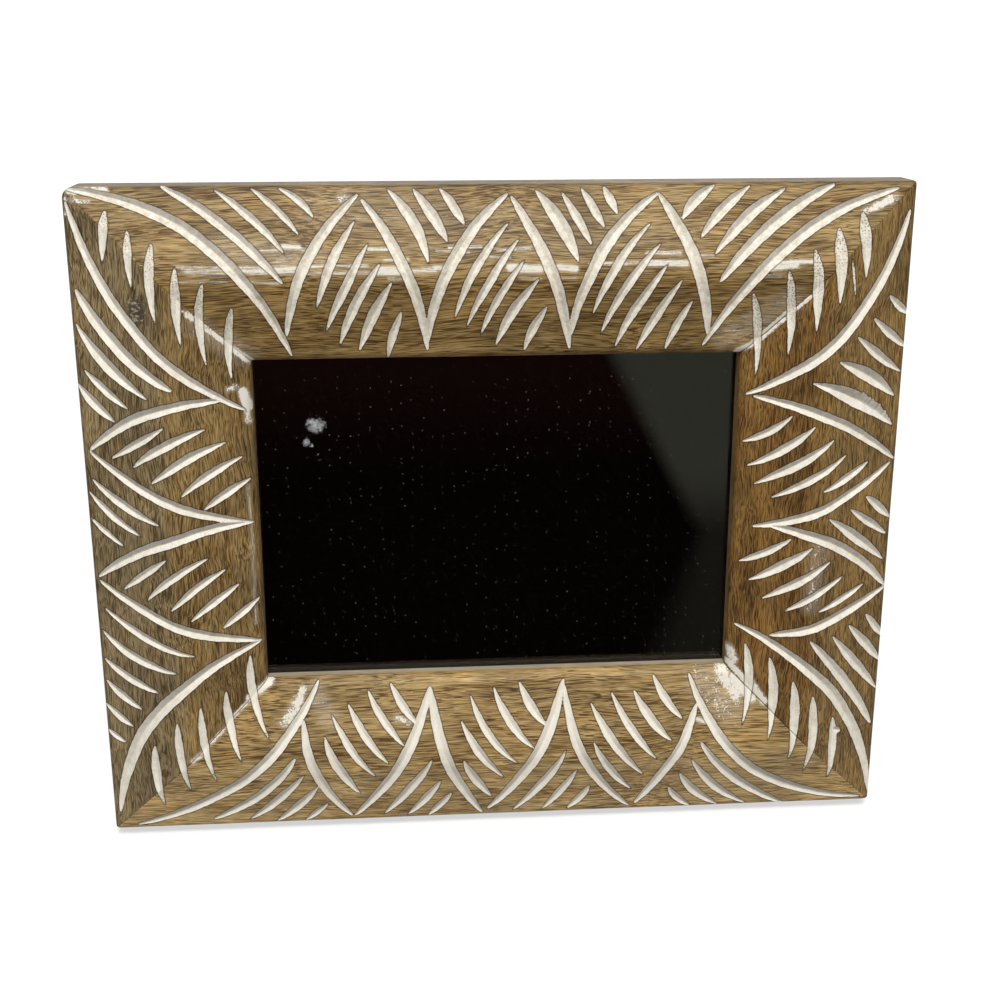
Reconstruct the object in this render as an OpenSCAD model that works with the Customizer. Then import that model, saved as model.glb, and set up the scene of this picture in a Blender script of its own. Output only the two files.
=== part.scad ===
// Carved wooden picture frame, standing on its open easel leg. Millimetres, +Z up, front towards -Y.
// Every piece is drawn in the plane of the frame, with x to the right, z up from the bottom edge and
// y = 0 on the flat back of the rails, and is then leaned back about the rear bottom edge.
// The origin is the middle of that edge, where the frame meets the surface that it stands on.

/* [Frame] */
// Width over the outer edges
frame_w = 279; // [250:1:360]
// Height over the outer edges
frame_h = 229; // [215:1:320]
// Width of each rail, from the outer edge to the sight edge
rail_w = 57; // [50:0.5:62]
// Radius of the four outer corners, seen from the front
corner_r = 2.5; // [0.5:0.5:8]
// Angle by which the frame leans back from upright
lean_a = 15; // [12:0.5:16]

/* [Rail section] */
// Thickness at the outer edge
edge_t = 15; // [13:0.5:18]
// Radius of the arris along the outer edge
edge_r = 1.2; // [0.4:0.2:3]
// Height at which the two bevels would meet, before the ridge is rounded
ridge_h = 25.1; // [22:0.1:30]
// Distance of the ridge from the outer edge
ridge_in = 29; // [24:0.5:34]
// Radius of the ridge
ridge_r = 18; // [8:1:24]
// Height of the inner bevel at the sight edge, before that edge is rolled over
sight_h = 16.3; // [15.5:0.1:18]
// Radius of the roll at the sight edge
sight_r = 4; // [1:0.5:5]

/* [Carving] */
// Depth of a gouge in proportion to half its width
gouge_slope = 0.8; // [0.5:0.05:1.1]
// Width of the gouges in proportion to the listed one
gouge_size = 1; // [0.6:0.05:1.2]

/* [Rebate and what fills it] */
// Depth to which the rebate reaches behind the lip, seen from the front
lip_w = 7; // [4:0.5:8]
// Side clearance of what lies in the rebate
fill_clr = 0.5; // [0.2:0.1:1.5]
// Thickness of the glass
glass_t = 2; // [1.5:0.1:3]
// Thickness of the black card behind the glass
insert_t = 0.6; // [0.3:0.1:1]
// Thickness of the filler card
filler_t = 3.4; // [2:0.1:4]
// Thickness of the back board
board_t = 3.4; // [2.5:0.1:4]
// Distance of the back board in front of the back of the rails
board_sink = 0.1; // [0:0.05:0.5]

/* [Easel leg] */
// Angle between the open leg and the frame
leg_open_a = 28; // [24:0.5:32]
// Distance of the hinge pin below the top edge of the back board
hinge_drop = 28.5; // [25:0.5:45]
// Thickness of the leg
leg_t = 3; // [2:0.1:5]
// Width of the leg at its top
leg_top_w = 36; // [32:1:44]
// Width of the leg at its foot
leg_foot_w = 56; // [40:1:70]
// Radius of the two top corners of the leg
leg_corner_r = 6; // [2:1:10]

/* [Hinge] */
// Radius of the hinge pin
pin_r = 1; // [0.8:0.05:1.3]
// Radial clearance of the pin in the knuckles
pin_clr = 0.05; // [0.02:0.01:0.1]
// Wall of the knuckles
knuckle_wall = 0.95; // [0.7:0.05:1.2]
// Thickness of both hinge leaves
leaf_t = 0.8; // [0.6:0.1:1]
// Width of both hinge leaves, along the pin
leaf_w = 30; // [24:1:32]
// Height of the leaf on the back board, above the pin
board_leaf_h = 20; // [18:1:24]
// Height of the leaf on the leg, below the pin
leg_leaf_h = 22; // [18:1:30]
// Width of the middle knuckle
mid_knuckle_w = 13; // [8:1:15]
// Gap at the ends of the middle knuckle
knuckle_gap = 0.2; // [0.1:0.05:0.5]
// Gap between the knuckles and the back board
knuckle_float = 0.25; // [0.15:0.05:0.6]
// Thickness of the heel that stops the leg
heel_t = 1; // [0.8:0.1:1.4]
// Gap left between the heel and the leaf that stops it
stop_clr = 0.03; // [0.02:0.01:0.1]

/* [Rivets] */
// Radius of the rivet shanks
rivet_r = 1.5; // [1.2:0.1:1.8]
// Radius of the rivet heads
rivet_head_r = 2.7; // [2.2:0.1:3.2]
// Thickness of the rivet heads
rivet_head_t = 0.8; // [0.5:0.1:0.9]

/* [Turn buttons] */
// Distance of the buttons' screws from the ends of the back board
button_end = 29; // [20:1:36]
// Distance of the buttons' screws from the edge of the rebate
button_in = 7; // [6:0.5:10]
// Length of a button from its screw to its tip
button_l = 17; // [14:0.5:19]
// Width of a button
button_w = 9; // [7.5:0.5:11]
// Thickness of a button
button_t = 1.5; // [1:0.1:2]
// Gap above and below a button
button_gap = 0.05; // [0.03:0.01:0.2]
// Radius of the screw shank
screw_r = 1.5; // [1.2:0.1:1.8]
// Radial clearance of a button on its screw
screw_clr = 0.05; // [0.03:0.01:0.1]
// Length of the screw in the wood
screw_l = 10; // [6:0.5:12]
// Radius of the screw head
screw_head_r = 3; // [2.6:0.1:3.6]
// Height of the screw head
screw_head_t = 1.7; // [1:0.1:2.5]
// Width of the slot in the screw head
screw_slot_w = 0.8; // [0.5:0.1:1]
// Depth of the slot in the screw head
screw_slot_d = 0.8; // [0.4:0.1:0.9]

/* [Sawtooth hanger] */
// Length of the hanger
hanger_l = 44; // [36:1:50]
// Height of the hanger
hanger_h = 10; // [8:0.5:14]
// Thickness of its steel
hanger_t = 0.8; // [0.5:0.1:1]
// Length of each flat end that is nailed down
hanger_end = 8; // [6.5:0.5:10]
// Rise of its middle off the wood
hanger_rise = 2; // [1:0.1:4]
// Distance of its middle below the top edge of the frame
hanger_drop = 26; // [18:1:32]
// Depth of its teeth
tooth_d = 1.6; // [0.8:0.1:2.5]
// Number of notches between the teeth
tooth_n = 7; // [5:1:9]
// Radius of its nails
nail_r = 0.7; // [0.5:0.05:0.9]
// Length of its nails in the wood
nail_l = 8; // [5:0.5:12]
// Radius of the nail heads
nail_head_r = 2; // [1.6:0.1:2.5]
// Thickness of the nail heads
nail_head_t = 0.6; // [0.4:0.1:0.9]

/* [Mitre nails] */
// Length of each arm of a V-nail
v_arm = 7; // [4:0.5:9]
// Thickness of a V-nail's steel
v_t = 0.6; // [0.4:0.1:0.9]
// Depth to which the V-nails are driven
v_depth = 10; // [6:0.5:12]
// Angle of each arm from the mitre
v_a = 38; // [30:1:42]
// Distances of the V-nails from the outer edges
v_in = [14, 33]; // [10:1:40]

/* [Hidden] */
$fn = 48;
eps = 0.01;
arc_steps = 6;
big = 2 * (frame_w + frame_h);

// Clearance of a nail, screw or rivet in its hole
hole_clr = 0.05;

// Main gouges, as they lie on a frame of this size: [start x, start z, end x, end z, bow, width], from the
// middle of the frame. The bow is how far the middle of the cut stands off the straight line, to the left
// of the way from start to end. The fine strokes between them are left to the looks.
LISTED_SIGHT = [165, 115];
LISTED_RAIL = 57;
TOP_GOUGES = [
    [-138.3, 113.9, -68.6, 58.9, 13.6, 3.4], [-70, 66, -45.3, 111.7, 5.2, 2.9],
    [-44.7, 110.3, -23.8, 60.5, 4.2, 3.0], [-23.8, 63, 3.2, 111.6, 6.1, 3.2],
    [3.8, 110.8, 23.7, 60.2, 3.3, 3.2], [24, 65, 52.6, 111.5, 6.7, 3.2],
    [52.3, 111.3, 70.2, 64.5, 3.4, 3.3], [68.8, 60.4, 133.5, 112.3, 10, 3.3],
    [-108.3, 114.6, -70.1, 84.0, 2.6, 2.8], [-80.4, 114.1, -64.3, 98.8, 1.0, 1.9],
    [-57.3, 67, -42.2, 97.1, 0.8, 2.5], [-46.6, 60.1, -34.8, 84.8, 1.0, 3.0],
    [-36.6, 113.6, -23.1, 89.5, 2.3, 3.0], [-11.1, 67.9, 6.9, 98.1, 1.7, 2.3],
    [-1.3, 61.4, 13.1, 85.3, 1.5, 2.9], [11.6, 112.8, 25.8, 89.5, 1.5, 3.8],
    [33.8, 64.5, 53.5, 96.1, 2.6, 2.5], [46, 58.6, 60.3, 84.5, 0.8, 2.6],
    [72.3, 82.9, 111.6, 113.6, 3.3, 3.5], [65.7, 96.5, 83.5, 113.6, 1.3, 3.0],
];
BOTTOM_GOUGES = [
    [-64.5, -59, -131.7, -112.8, 10, 3.3], [-70, -71, -53.7, -112.6, -3.9, 3.0],
    [-53.2, -112.7, -24.9, -61, -3.6, 3.4], [-24.8, -61, -6.2, -113.6, -3.6, 3.4],
    [-4.5, -111.8, 23.2, -60, -3.6, 3.6], [23.3, -62, 48.5, -113, -5.7, 3.1],
    [50.1, -112.1, 71.4, -70, -1.6, 3.1], [68.6, -59.3, 136.3, -112.6, -14.2, 3.3],
    [-104.2, -111.5, -73.1, -84.3, -3.3, 3.0], [-82, -114.3, -65.4, -97.1, -0.9, 2.8],
    [-60.4, -68.9, -44.4, -94.5, -1.0, 2.2], [-47.2, -61, -34.1, -81.8, -1.3, 2.3],
    [-42.8, -112.8, -24.3, -86.2, -1.1, 3.0], [-14.4, -72.6, 1.6, -96.8, -1.1, 2.6],
    [-2.2, -61.5, 12.8, -84.5, -2.2, 2.6], [4.5, -113.4, 23.8, -84.5, -1.5, 3.0],
    [32.4, -67.8, 52.9, -97.9, -1.5, 2.8], [48.4, -64.3, 62.4, -83.1, -1.5, 2.9],
    [72.6, -83.7, 107.1, -114.6, -3.4, 3.0], [65.4, -96.4, 82.4, -114.3, -1.9, 2.9],
];
LEFT_GOUGES = [
    [-138.5, 110.5, -84.5, 41, -9.8, 3.0], [-137.2, 28, -92.5, 45, 5.2, 3.0],
    [-137.3, 27.8, -84, 1.8, -3.8, 2.8], [-138, -17, -84, 1.9, 5.0, 3.2],
    [-137.8, -18, -83.4, -41.8, -3.6, 2.9], [-83.4, -41.8, -137.3, -107.4, -12.9, 3.8],
    [-137.5, 82.3, -107.6, 49.4, -3.3, 3.6], [-137.2, 56, -122.2, 42.8, -0.6, 2.3],
    [-123, 22.6, -97.2, 36, 1.9, 2.8], [-107.8, 12.6, -85.8, 25.6, 1.3, 2.5],
    [-137.8, 18.8, -114.2, 3, -1.6, 2.6], [-121.4, -24.6, -98.6, -9, 2.0, 2.3],
    [-107, -31.8, -89.2, -19.4, 0.4, 2.3], [-137.6, -27.4, -104.8, -44.6, -2.5, 2.5],
    [-139, -46.6, -118.6, -58.6, -1.5, 2.6],
];
RIGHT_GOUGES = [
    [137.7, 105.4, 84.4, 43.4, 10, 3.4], [86.8, 43, 139, 18.8, 4.2, 3.0],
    [137.6, 18, 88.8, -3.8, 3.2, 2.9], [94.5, -3.2, 139.2, -28.4, 5.3, 3.4],
    [139.4, -28.6, 96.4, -44.2, 2.0, 3.2], [84.4, -40.6, 139.5, -111.5, 12.3, 3.6],
    [120.4, 63.9, 139.4, 49.6, -0.4, 2.7], [105.2, 48.4, 137.6, 30.8, 2.4, 4.6],
    [85.4, 18, 108.2, 33.8, -1.6, 2.6], [93.8, 6.8, 120.4, 23, -0.8, 2.4],
    [113.8, 0.4, 138.2, -18.8, 0.7, 3.2], [88, -24, 110, -9.8, -0.9, 2.9],
    [100.6, -35, 122.6, -21.8, 0.2, 2.3], [110.4, -45.6, 138.2, -82.9, 1.5, 3.2],
    [125.2, -41, 140.5, -58.4, 0, 2.9],
];
MITRE_GOUGES = [
    [-125.6, 107.6, -127.6, 90.1, -0.3, 2.9], [-111.4, 97.5, -111.3, 70.9, -1.1, 3.1],
    [-95.6, 85, -95.9, 55.4, -2.1, 2.6], [83.8, 79.5, 87.2, 48.4, 1.8, 2.7],
    [104.1, 93.4, 105.8, 64.6, 0.8, 3.5], [120.4, 105.1, 122.4, 82.1, 0.5, 3.8],
    [88.4, -47.6, 87.3, -79.6, 2.6, 2.9], [105.4, -60.9, 105.4, -93.7, 1.4, 3.3],
    [121.6, -76.6, 121.5, -103.4, 0.9, 3.3], [-87.6, -46.4, -81.3, -78.9, -2.7, 2.8],
    [-105.3, -63.3, -100.9, -94.6, -1.4, 2.5], [-122.3, -78.7, -120.4, -104.9, -1.0, 3.2],
];
// Power of the lens shape to which a gouge narrows, and how far its cutter stands proud of the wood
GOUGE_TAPER = 0.7;
GOUGE_PROUD = 1.6;
// Longest step in which a gouge is drawn, and the fewest steps of one
GOUGE_STEP = 8;
FEWEST_STEPS = 4;

sight_w = frame_w - 2 * rail_w;
sight_opening_h = frame_h - 2 * rail_w;
fill_w = sight_w + 2 * lip_w - 2 * fill_clr;
fill_h = sight_opening_h + 2 * lip_w - 2 * fill_clr;
button_x = fill_w / 2 - button_end;
rebate_d = glass_t + insert_t + filler_t + board_t + board_sink;

// The pin, seen in the plane of the frame
knuckle_r = pin_r + pin_clr + knuckle_wall;
pin_y = -board_sink + knuckle_float + knuckle_r;
pin_z = frame_h / 2 + fill_h / 2 - hinge_drop;
pin_end_t = 0.6;
pin_end_r = pin_r + 0.5;

// Leaf on the back board: its surface, and the reach of the heel that meets it
board_leaf_y = -board_sink + leaf_t;
heel_front = knuckle_r - heel_t;
heel_l = (pin_y - board_leaf_y - stop_clr + heel_front * cos(leg_open_a)) / sin(leg_open_a);
side_knuckle_w = (leaf_w - mid_knuckle_w) / 2 - knuckle_gap;
board_leaf_foot = knuckle_r + 0.8;

// Leg: the rivet heads pass between it and the back when it is folded
fold_gap = 0.5;
leg_y = -board_sink + fold_gap + rivet_head_t + leaf_t;
leg_top_gap = knuckle_r + 1;
leg_leaf_top_gap = knuckle_r + 0.5;
leg_reach = 1.2 * pin_z;
board_rivet_x = leaf_w / 2 - rivet_head_r - 2;
board_rivet_z = [board_leaf_h - 2 - rivet_head_r, board_leaf_foot + 1 + rivet_head_r];
leg_rivets_at = [[-9, -9], [9, -9], [0, -17]];

button_s = rail_w - lip_w - button_in;
tooth_pitch = (hanger_l - 2 * hanger_end - 4 * hanger_rise) / tooth_n;

// Direction of b from a, and the arc of radius r that rounds corner p between a and b
function way(a, b) = (b - a) / norm(b - a);
function rounded(a, p, b, r) = let (
    u = way(p, a), v = way(p, b), half = acos(u * v) / 2,
    c = p + way([0, 0], u + v) * r / sin(half),
    s = p + u * r / tan(half) - c, e = p + v * r / tan(half) - c,
    from = atan2(s.y, s.x), turn = (atan2(e.y, e.x) - from + 540) % 360 - 180
) [for (i = [0 : arc_steps]) c + r * [cos(from + turn * i / arc_steps), sin(from + turn * i / arc_steps)]];

// Section of a rail: x inwards from the outer edge, y forwards from the back
lip = [rail_w, rebate_d];
rail_front = let (outer = [0, edge_t], ridge = [ridge_in, ridge_h], sight = [rail_w, sight_h]) concat(
    rounded([0, 0], outer, ridge, edge_r), rounded(outer, ridge, sight, ridge_r),
    rounded(ridge, sight, lip, sight_r)
);
rail_section = concat([[0, 0]], rail_front, [lip, [rail_w - lip_w, rebate_d], [rail_w - lip_w, 0]]);

// Height of the front at a point of the frame's plane, seen from its middle
function front_at(p) = lookup(min(frame_w / 2 - abs(p.x), frame_h / 2 - abs(p.y)), rail_front);

// Where a listed point lies on this frame: stretched with the sight opening, and beyond it with the rails
function stretched(v, listed, half) =
    abs(v) < listed ? v * half / listed : sign(v) * (half + (abs(v) - listed) * rail_w / LISTED_RAIL);
function placed(x, z) = [
    stretched(x, LISTED_SIGHT.x / 2, sight_w / 2), stretched(z, LISTED_SIGHT.y / 2, sight_opening_h / 2)
];

// Leans the frame back about its rear bottom edge
module lean() { rotate([-lean_a, 0, 0]) children(); }

// Turns a flat outline drawn in x and z into a plate that reaches from y0 to y1
module plate(y0, y1) { translate([0, y1, 0]) rotate([90, 0, 0]) linear_extrude(y1 - y0) children(); }

// Solid cylinder along y, from y0 to y1, at x and z
module rod(x, z, r, y0, y1) { translate([x, y1, z]) rotate([90, 0, 0]) cylinder(r = r, h = y1 - y0); }

// Tube or rod along the hinge pin
module along_pin(x0, x1, r) { translate([x0, pin_y, pin_z]) rotate([0, 90, 0]) cylinder(r = r, h = x1 - x0); }

// Takes children drawn beside the closed leg to the open position
module opened() { translate([0, pin_y, pin_z]) rotate([leg_open_a, 0, 0]) translate([0, -pin_y, -pin_z]) children(); }

// Turns a bottom rail about the middle of the frame into the rail on another side
module at_side(turn) { translate([0, 0, frame_h / 2]) rotate([0, turn, 0]) children(); }

module stadium(l, w) {
    circle(d = w);
    translate([0, l - w / 2]) circle(d = w);
    translate([-w / 2, 0]) square([w, l - w / 2]);
}

// One mitred rail of outer length l, below the middle of the frame at the distance reach
module rail_blank(l, reach) {
    intersection() {
        translate([-l / 2, 0, -reach]) rotate([90, 0, 0]) rotate([90, 0, 90])
            linear_extrude(l) polygon(rail_section);
        plate(-ridge_h - 1, 1) intersection() {
            polygon([
                [-l / 2, -reach], [l / 2, -reach], [l / 2 - rail_w, rail_w - reach], [rail_w - l / 2, rail_w - reach]
            ]);
            union() {
                translate([-l / 2 + corner_r, -reach]) square([l - 2 * corner_r, 2 * reach]);
                translate([-l / 2, -reach + corner_r]) square([l, 2 * reach]);
                for (s = [-1, 1]) translate([s * (l / 2 - corner_r), corner_r - reach]) circle(r = corner_r);
            }
        }
    }
}

// Holes that the fasteners fill in the back of the rails
module fastener_holes() {
    v_nail_set(1);
    for (b = button_places()) rod(b[0], b[1], screw_r + hole_clr, -screw_l - 0.2, 1);
    for (s = [-1, 1]) rod(s * hanger_nail_x(), frame_h - hanger_drop, nail_r + hole_clr, -nail_l - 0.2, 1);
}

// Cutter of a gouge: rings of two points proud of the wood and one on the floor of the V, between two tips
module gouge(listed) {
    start = placed(listed[0], listed[1]);
    end = placed(listed[2], listed[3]);
    across = [start.y - end.y, end.x - start.x] / norm(end - start);
    steps = max(FEWEST_STEPS, ceil(norm(end - start) / GOUGE_STEP));
    last = 3 * steps - 2;
    function at(p, rise) = [p.x, -front_at(p) - rise, p.y + frame_h / 2];
    rings = [for (i = [1 : steps - 1]) let (
        t = i / steps,
        middle = start + t * (end - start) + 4 * t * (1 - t) * listed[4] * across,
        half = gouge_size * listed[5] / 2 * pow(4 * t * (1 - t), GOUGE_TAPER),
        reach = half + GOUGE_PROUD / gouge_slope
    ) each [
        at(middle + reach * across, GOUGE_PROUD), at(middle - reach * across, GOUGE_PROUD),
        at(middle, -gouge_slope * half)
    ]];
    sides = [[0, 2], [2, 1], [1, 0]];
    polyhedron(
        concat([at(start, GOUGE_PROUD)], rings, [at(end, GOUGE_PROUD)]),
        concat(
            [for (s = sides) [0, 1 + s[1], 1 + s[0]]],
            [for (i = [0 : steps - 3], s = sides) let (a = 1 + 3 * i + s[0], b = 1 + 3 * i + s[1])
                each [[a, b + 3, a + 3], [a, b, b + 3]]],
            [for (s = sides) [last, last - 3 + s[0], last - 3 + s[1]]]
        )
    );
}

module carved_rail(l, reach, turn, gouges) {
    color("#8a6b42") lean() difference() {
        at_side(turn) rail_blank(l, reach);
        fastener_holes();
        for (g = concat(gouges, MITRE_GOUGES)) gouge(g);
    }
}

module top_rail() { carved_rail(frame_w, frame_h / 2, 180, TOP_GOUGES); }
module bottom_rail() { carved_rail(frame_w, frame_h / 2, 0, BOTTOM_GOUGES); }
module left_rail() { carved_rail(frame_h, frame_w / 2, 90, LEFT_GOUGES); }
module right_rail() { carved_rail(frame_h, frame_w / 2, -90, RIGHT_GOUGES); }

// V-nails, from the back to y1: two across each mitre, the point of the V on the joint
module v_nail_set(y1 = 0) {
    plate(-v_depth, y1) for (sx = [-1, 1], sz = [-1, 1], d = v_in)
        translate([sx * (frame_w / 2 - d), frame_h / 2 + sz * (frame_h / 2 - d)])
            rotate(atan2(-sz, -sx)) for (s = [-1, 1])
                rotate(s * v_a) translate([0, -v_t / 2]) square([v_arm, v_t]);
}

module mitre_v_nails() { color("#9a9a98") lean() v_nail_set(); }

// Sheet in the rebate, from the depth y0 to y1
module rebate_sheet(y0, y1) {
    plate(y0, y1) translate([-fill_w / 2, (frame_h - fill_h) / 2]) square([fill_w, fill_h]);
}

module glass_pane() { color("#181310") lean() rebate_sheet(-rebate_d, -rebate_d + glass_t); }

module black_insert_card() {
    color("#0d0b0a") lean() rebate_sheet(-rebate_d + glass_t, -rebate_d + glass_t + insert_t);
}

module filler_card() {
    color("#b59a6b") lean() rebate_sheet(-board_sink - board_t - filler_t, -board_sink - board_t);
}

module back_board() {
    color("#5a4030") lean() difference() {
        rebate_sheet(-board_sink - board_t, -board_sink);
        for (s = [-1, 1], z = board_rivet_z) {
            rod(s * board_rivet_x, pin_z + z, rivet_r + hole_clr, -board_t - 1, 1);
            rod(s * board_rivet_x, pin_z + z, rivet_head_r + hole_clr, -board_t - 1, -board_sink - board_t + rivet_head_t);
        }
    }
}

module hinge_board_leaf() {
    color("#a8a69c") lean() difference() {
        union() {
            plate(-board_sink, board_leaf_y) {
                translate([-leaf_w / 2, pin_z + board_leaf_foot]) square([leaf_w, board_leaf_h - board_leaf_foot]);
                for (s = [-1, 1]) translate([s * (leaf_w - side_knuckle_w) / 2 - side_knuckle_w / 2, pin_z - knuckle_r / 2])
                    square([side_knuckle_w, board_leaf_foot + knuckle_r / 2 + eps]);
            }
            for (x = [-leaf_w / 2, leaf_w / 2 - side_knuckle_w]) along_pin(x, x + side_knuckle_w, knuckle_r);
        }
        along_pin(-leaf_w, leaf_w, pin_r + pin_clr);
        for (s = [-1, 1], z = board_rivet_z) rod(s * board_rivet_x, pin_z + z, rivet_r + hole_clr, -1, leaf_t + 1);
    }
}

module hinge_pin() {
    color("#c0beb6") lean() {
        along_pin(-leaf_w / 2 - knuckle_gap - pin_end_t, leaf_w / 2 + knuckle_gap + pin_end_t, pin_r);
        along_pin(-leaf_w / 2 - knuckle_gap - pin_end_t, -leaf_w / 2 - knuckle_gap, pin_end_r);
        along_pin(leaf_w / 2 + knuckle_gap, leaf_w / 2 + knuckle_gap + pin_end_t, pin_end_r);
    }
}

// Rivet along y whose heads lie against the faces y0 and y1
module rivet(x, z, y0, y1) {
    rod(x, z, rivet_r, y0 - eps, y1 + eps);
    rod(x, z, rivet_head_r, y0 - rivet_head_t, y0);
    rod(x, z, rivet_head_r, y1, y1 + rivet_head_t);
}

module board_rivets() {
    color("#c8c4b4") lean() for (s = [-1, 1], z = board_rivet_z)
        rivet(s * board_rivet_x, pin_z + z, -board_sink - board_t + rivet_head_t, board_leaf_y);
}

function leg_half_w(drop) = (leg_top_w + (leg_foot_w - leg_top_w) * drop / pin_z) / 2;

module leg_outline() {
    top = [[-leg_top_w / 2, 0], [leg_top_w / 2, 0]];
    foot = [[-leg_half_w(leg_reach), -leg_reach], [leg_half_w(leg_reach), -leg_reach]];
    polygon(concat(rounded(foot[0], top[0], top[1], leg_corner_r), rounded(top[0], top[1], foot[1], leg_corner_r),
                   [foot[1], foot[0]]));
}

module easel_leg() {
    color("#2e241d") difference() {
        lean() opened() difference() {
            plate(leg_y, leg_y + leg_t) translate([0, pin_z - leg_top_gap]) leg_outline();
            for (p = leg_rivets_at) rod(p[0], pin_z + p[1], rivet_r + hole_clr, 0, leg_y + leg_t + 1);
        }
        translate([-big / 2, -big / 2, -big]) cube(big);
    }
}

module hinge_leg_leaf() {
    color("#a8a69c") lean() opened() difference() {
        union() {
            plate(leg_y - leaf_t, leg_y) {
                translate([-leaf_w / 2, pin_z - leg_leaf_h]) square([leaf_w, leg_leaf_h - leg_leaf_top_gap]);
                translate([-mid_knuckle_w / 2, pin_z - leg_leaf_h])
                    square([mid_knuckle_w, leg_leaf_h - (pin_r + knuckle_r) / 2]);
            }
            along_pin(-mid_knuckle_w / 2, mid_knuckle_w / 2, knuckle_r);
            translate([-mid_knuckle_w / 2, pin_y + heel_front, pin_z]) cube([mid_knuckle_w, heel_t, heel_l]);
        }
        along_pin(-leaf_w, leaf_w, pin_r + pin_clr);
        for (p = leg_rivets_at) rod(p[0], pin_z + p[1], rivet_r + hole_clr, 0, leg_y + 1);
    }
}

module leg_rivets() {
    color("#c8c4b4") lean() opened() for (p = leg_rivets_at) rivet(p[0], pin_z + p[1], leg_y - leaf_t, leg_y + leg_t);
}

// Screw of each turn button: x, z and the way that the button points over the back board
function button_places() = [
    [-button_x, frame_h - button_s, 180], [button_x, frame_h - button_s, 180],
    [-button_x, button_s, 0], [button_x, button_s, 0]
];

module turn_button(place) {
    color("#b3903f") lean() difference() {
        translate([place[0], 0, place[1]]) rotate([0, place[2], 0])
            plate(button_gap, button_gap + button_t) stadium(button_l, button_w);
        rod(place[0], place[1], screw_r + screw_clr, -1, button_t + 1);
    }
}

module turn_button_top_left() { turn_button(button_places()[0]); }
module turn_button_top_right() { turn_button(button_places()[1]); }
module turn_button_bottom_left() { turn_button(button_places()[2]); }
module turn_button_bottom_right() { turn_button(button_places()[3]); }

module turn_button_screws() {
    head_y = button_t + 2 * button_gap;
    color("#c9ad62") lean() for (b = button_places()) difference() {
        union() {
            rod(b[0], b[1], screw_r, -screw_l, head_y + eps);
            rod(b[0], b[1], screw_head_r, head_y, head_y + screw_head_t);
        }
        translate([b[0] - screw_head_r - 1, head_y + screw_head_t - screw_slot_d, b[1] - screw_slot_w / 2])
            cube([2 * screw_head_r + 2, screw_slot_d + 1, screw_slot_w]);
    }
}

function hanger_nail_x() = (hanger_l - hanger_end) / 2;

// Side of the hanger, seen from above: flat ends, and a middle that stands off the wood
function hanger_side(y) = let (a = hanger_l / 2, b = a - hanger_end, c = b - hanger_rise)
    [[-a, y], [-b, y], [-c, y + hanger_rise], [c, y + hanger_rise], [b, y], [a, y]];

module sawtooth_hanger() {
    color("#c9a94e") lean() difference() {
        translate([0, 0, frame_h - hanger_drop - hanger_h / 2]) linear_extrude(hanger_h)
            polygon(concat(hanger_side(0), [for (i = [5 : -1 : 0]) hanger_side(hanger_t)[i]]));
        for (s = [-1, 1]) rod(s * hanger_nail_x(), frame_h - hanger_drop, nail_r + hole_clr, -1, hanger_t + 1);
        plate(hanger_rise - eps, hanger_rise + hanger_t + 1) for (i = [0 : tooth_n - 1])
            translate([(i - tooth_n / 2) * tooth_pitch, frame_h - hanger_drop - hanger_h / 2])
                polygon([[0, -1], [0, 0], [tooth_pitch / 2, tooth_d], [tooth_pitch, 0], [tooth_pitch, -1]]);
    }
}

module hanger_nails() {
    color("#c9a94e") lean() for (s = [-1, 1]) {
        rod(s * hanger_nail_x(), frame_h - hanger_drop, nail_r, -nail_l, hanger_t + eps);
        rod(s * hanger_nail_x(), frame_h - hanger_drop, nail_head_r, hanger_t, hanger_t + nail_head_t);
    }
}

top_rail();
bottom_rail();
left_rail();
right_rail();
mitre_v_nails();
glass_pane();
black_insert_card();
filler_card();
back_board();
hinge_board_leaf();
hinge_pin();
board_rivets();
turn_button_screws();
sawtooth_hanger();
hanger_nails();
easel_leg();
hinge_leg_leaf();
leg_rivets();
turn_button_top_left();
turn_button_top_right();
turn_button_bottom_left();
turn_button_bottom_right();
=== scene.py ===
"""Looks of the carved wooden picture frame, built around its packed solids. Run as a script."""

from math import atan2, cos, pi, radians, sin

import bmesh
import bpy
import numpy as np
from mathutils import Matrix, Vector


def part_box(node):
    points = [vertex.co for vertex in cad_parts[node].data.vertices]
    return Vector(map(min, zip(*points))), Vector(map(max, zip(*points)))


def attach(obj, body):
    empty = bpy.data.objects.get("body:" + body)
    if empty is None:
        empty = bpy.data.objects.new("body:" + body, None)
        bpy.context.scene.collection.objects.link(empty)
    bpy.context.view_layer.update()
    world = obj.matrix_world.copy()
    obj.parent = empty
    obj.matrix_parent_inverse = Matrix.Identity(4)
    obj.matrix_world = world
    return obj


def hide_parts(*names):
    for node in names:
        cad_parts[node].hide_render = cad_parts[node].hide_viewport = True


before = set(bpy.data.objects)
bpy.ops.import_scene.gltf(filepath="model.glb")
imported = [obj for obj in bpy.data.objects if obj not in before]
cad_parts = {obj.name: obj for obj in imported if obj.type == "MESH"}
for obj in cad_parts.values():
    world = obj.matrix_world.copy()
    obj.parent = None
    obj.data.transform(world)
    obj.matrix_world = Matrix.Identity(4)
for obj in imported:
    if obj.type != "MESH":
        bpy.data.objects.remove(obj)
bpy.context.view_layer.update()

bl_info = {
    "name": "Carved Picture Frame",
    "version": (1, 0, 0),
    "blender": (4, 5, 0),
    "location": "3D View > Sidebar > Picture Frame",
    "description": "Carved and mitred rails, glass, back board, easel leg and fittings of a table frame",
    "category": "Add Mesh",
}

MM = 0.001
SHARP = radians(40)  # Edges of the modelled pieces are sharp from this angle on

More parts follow.
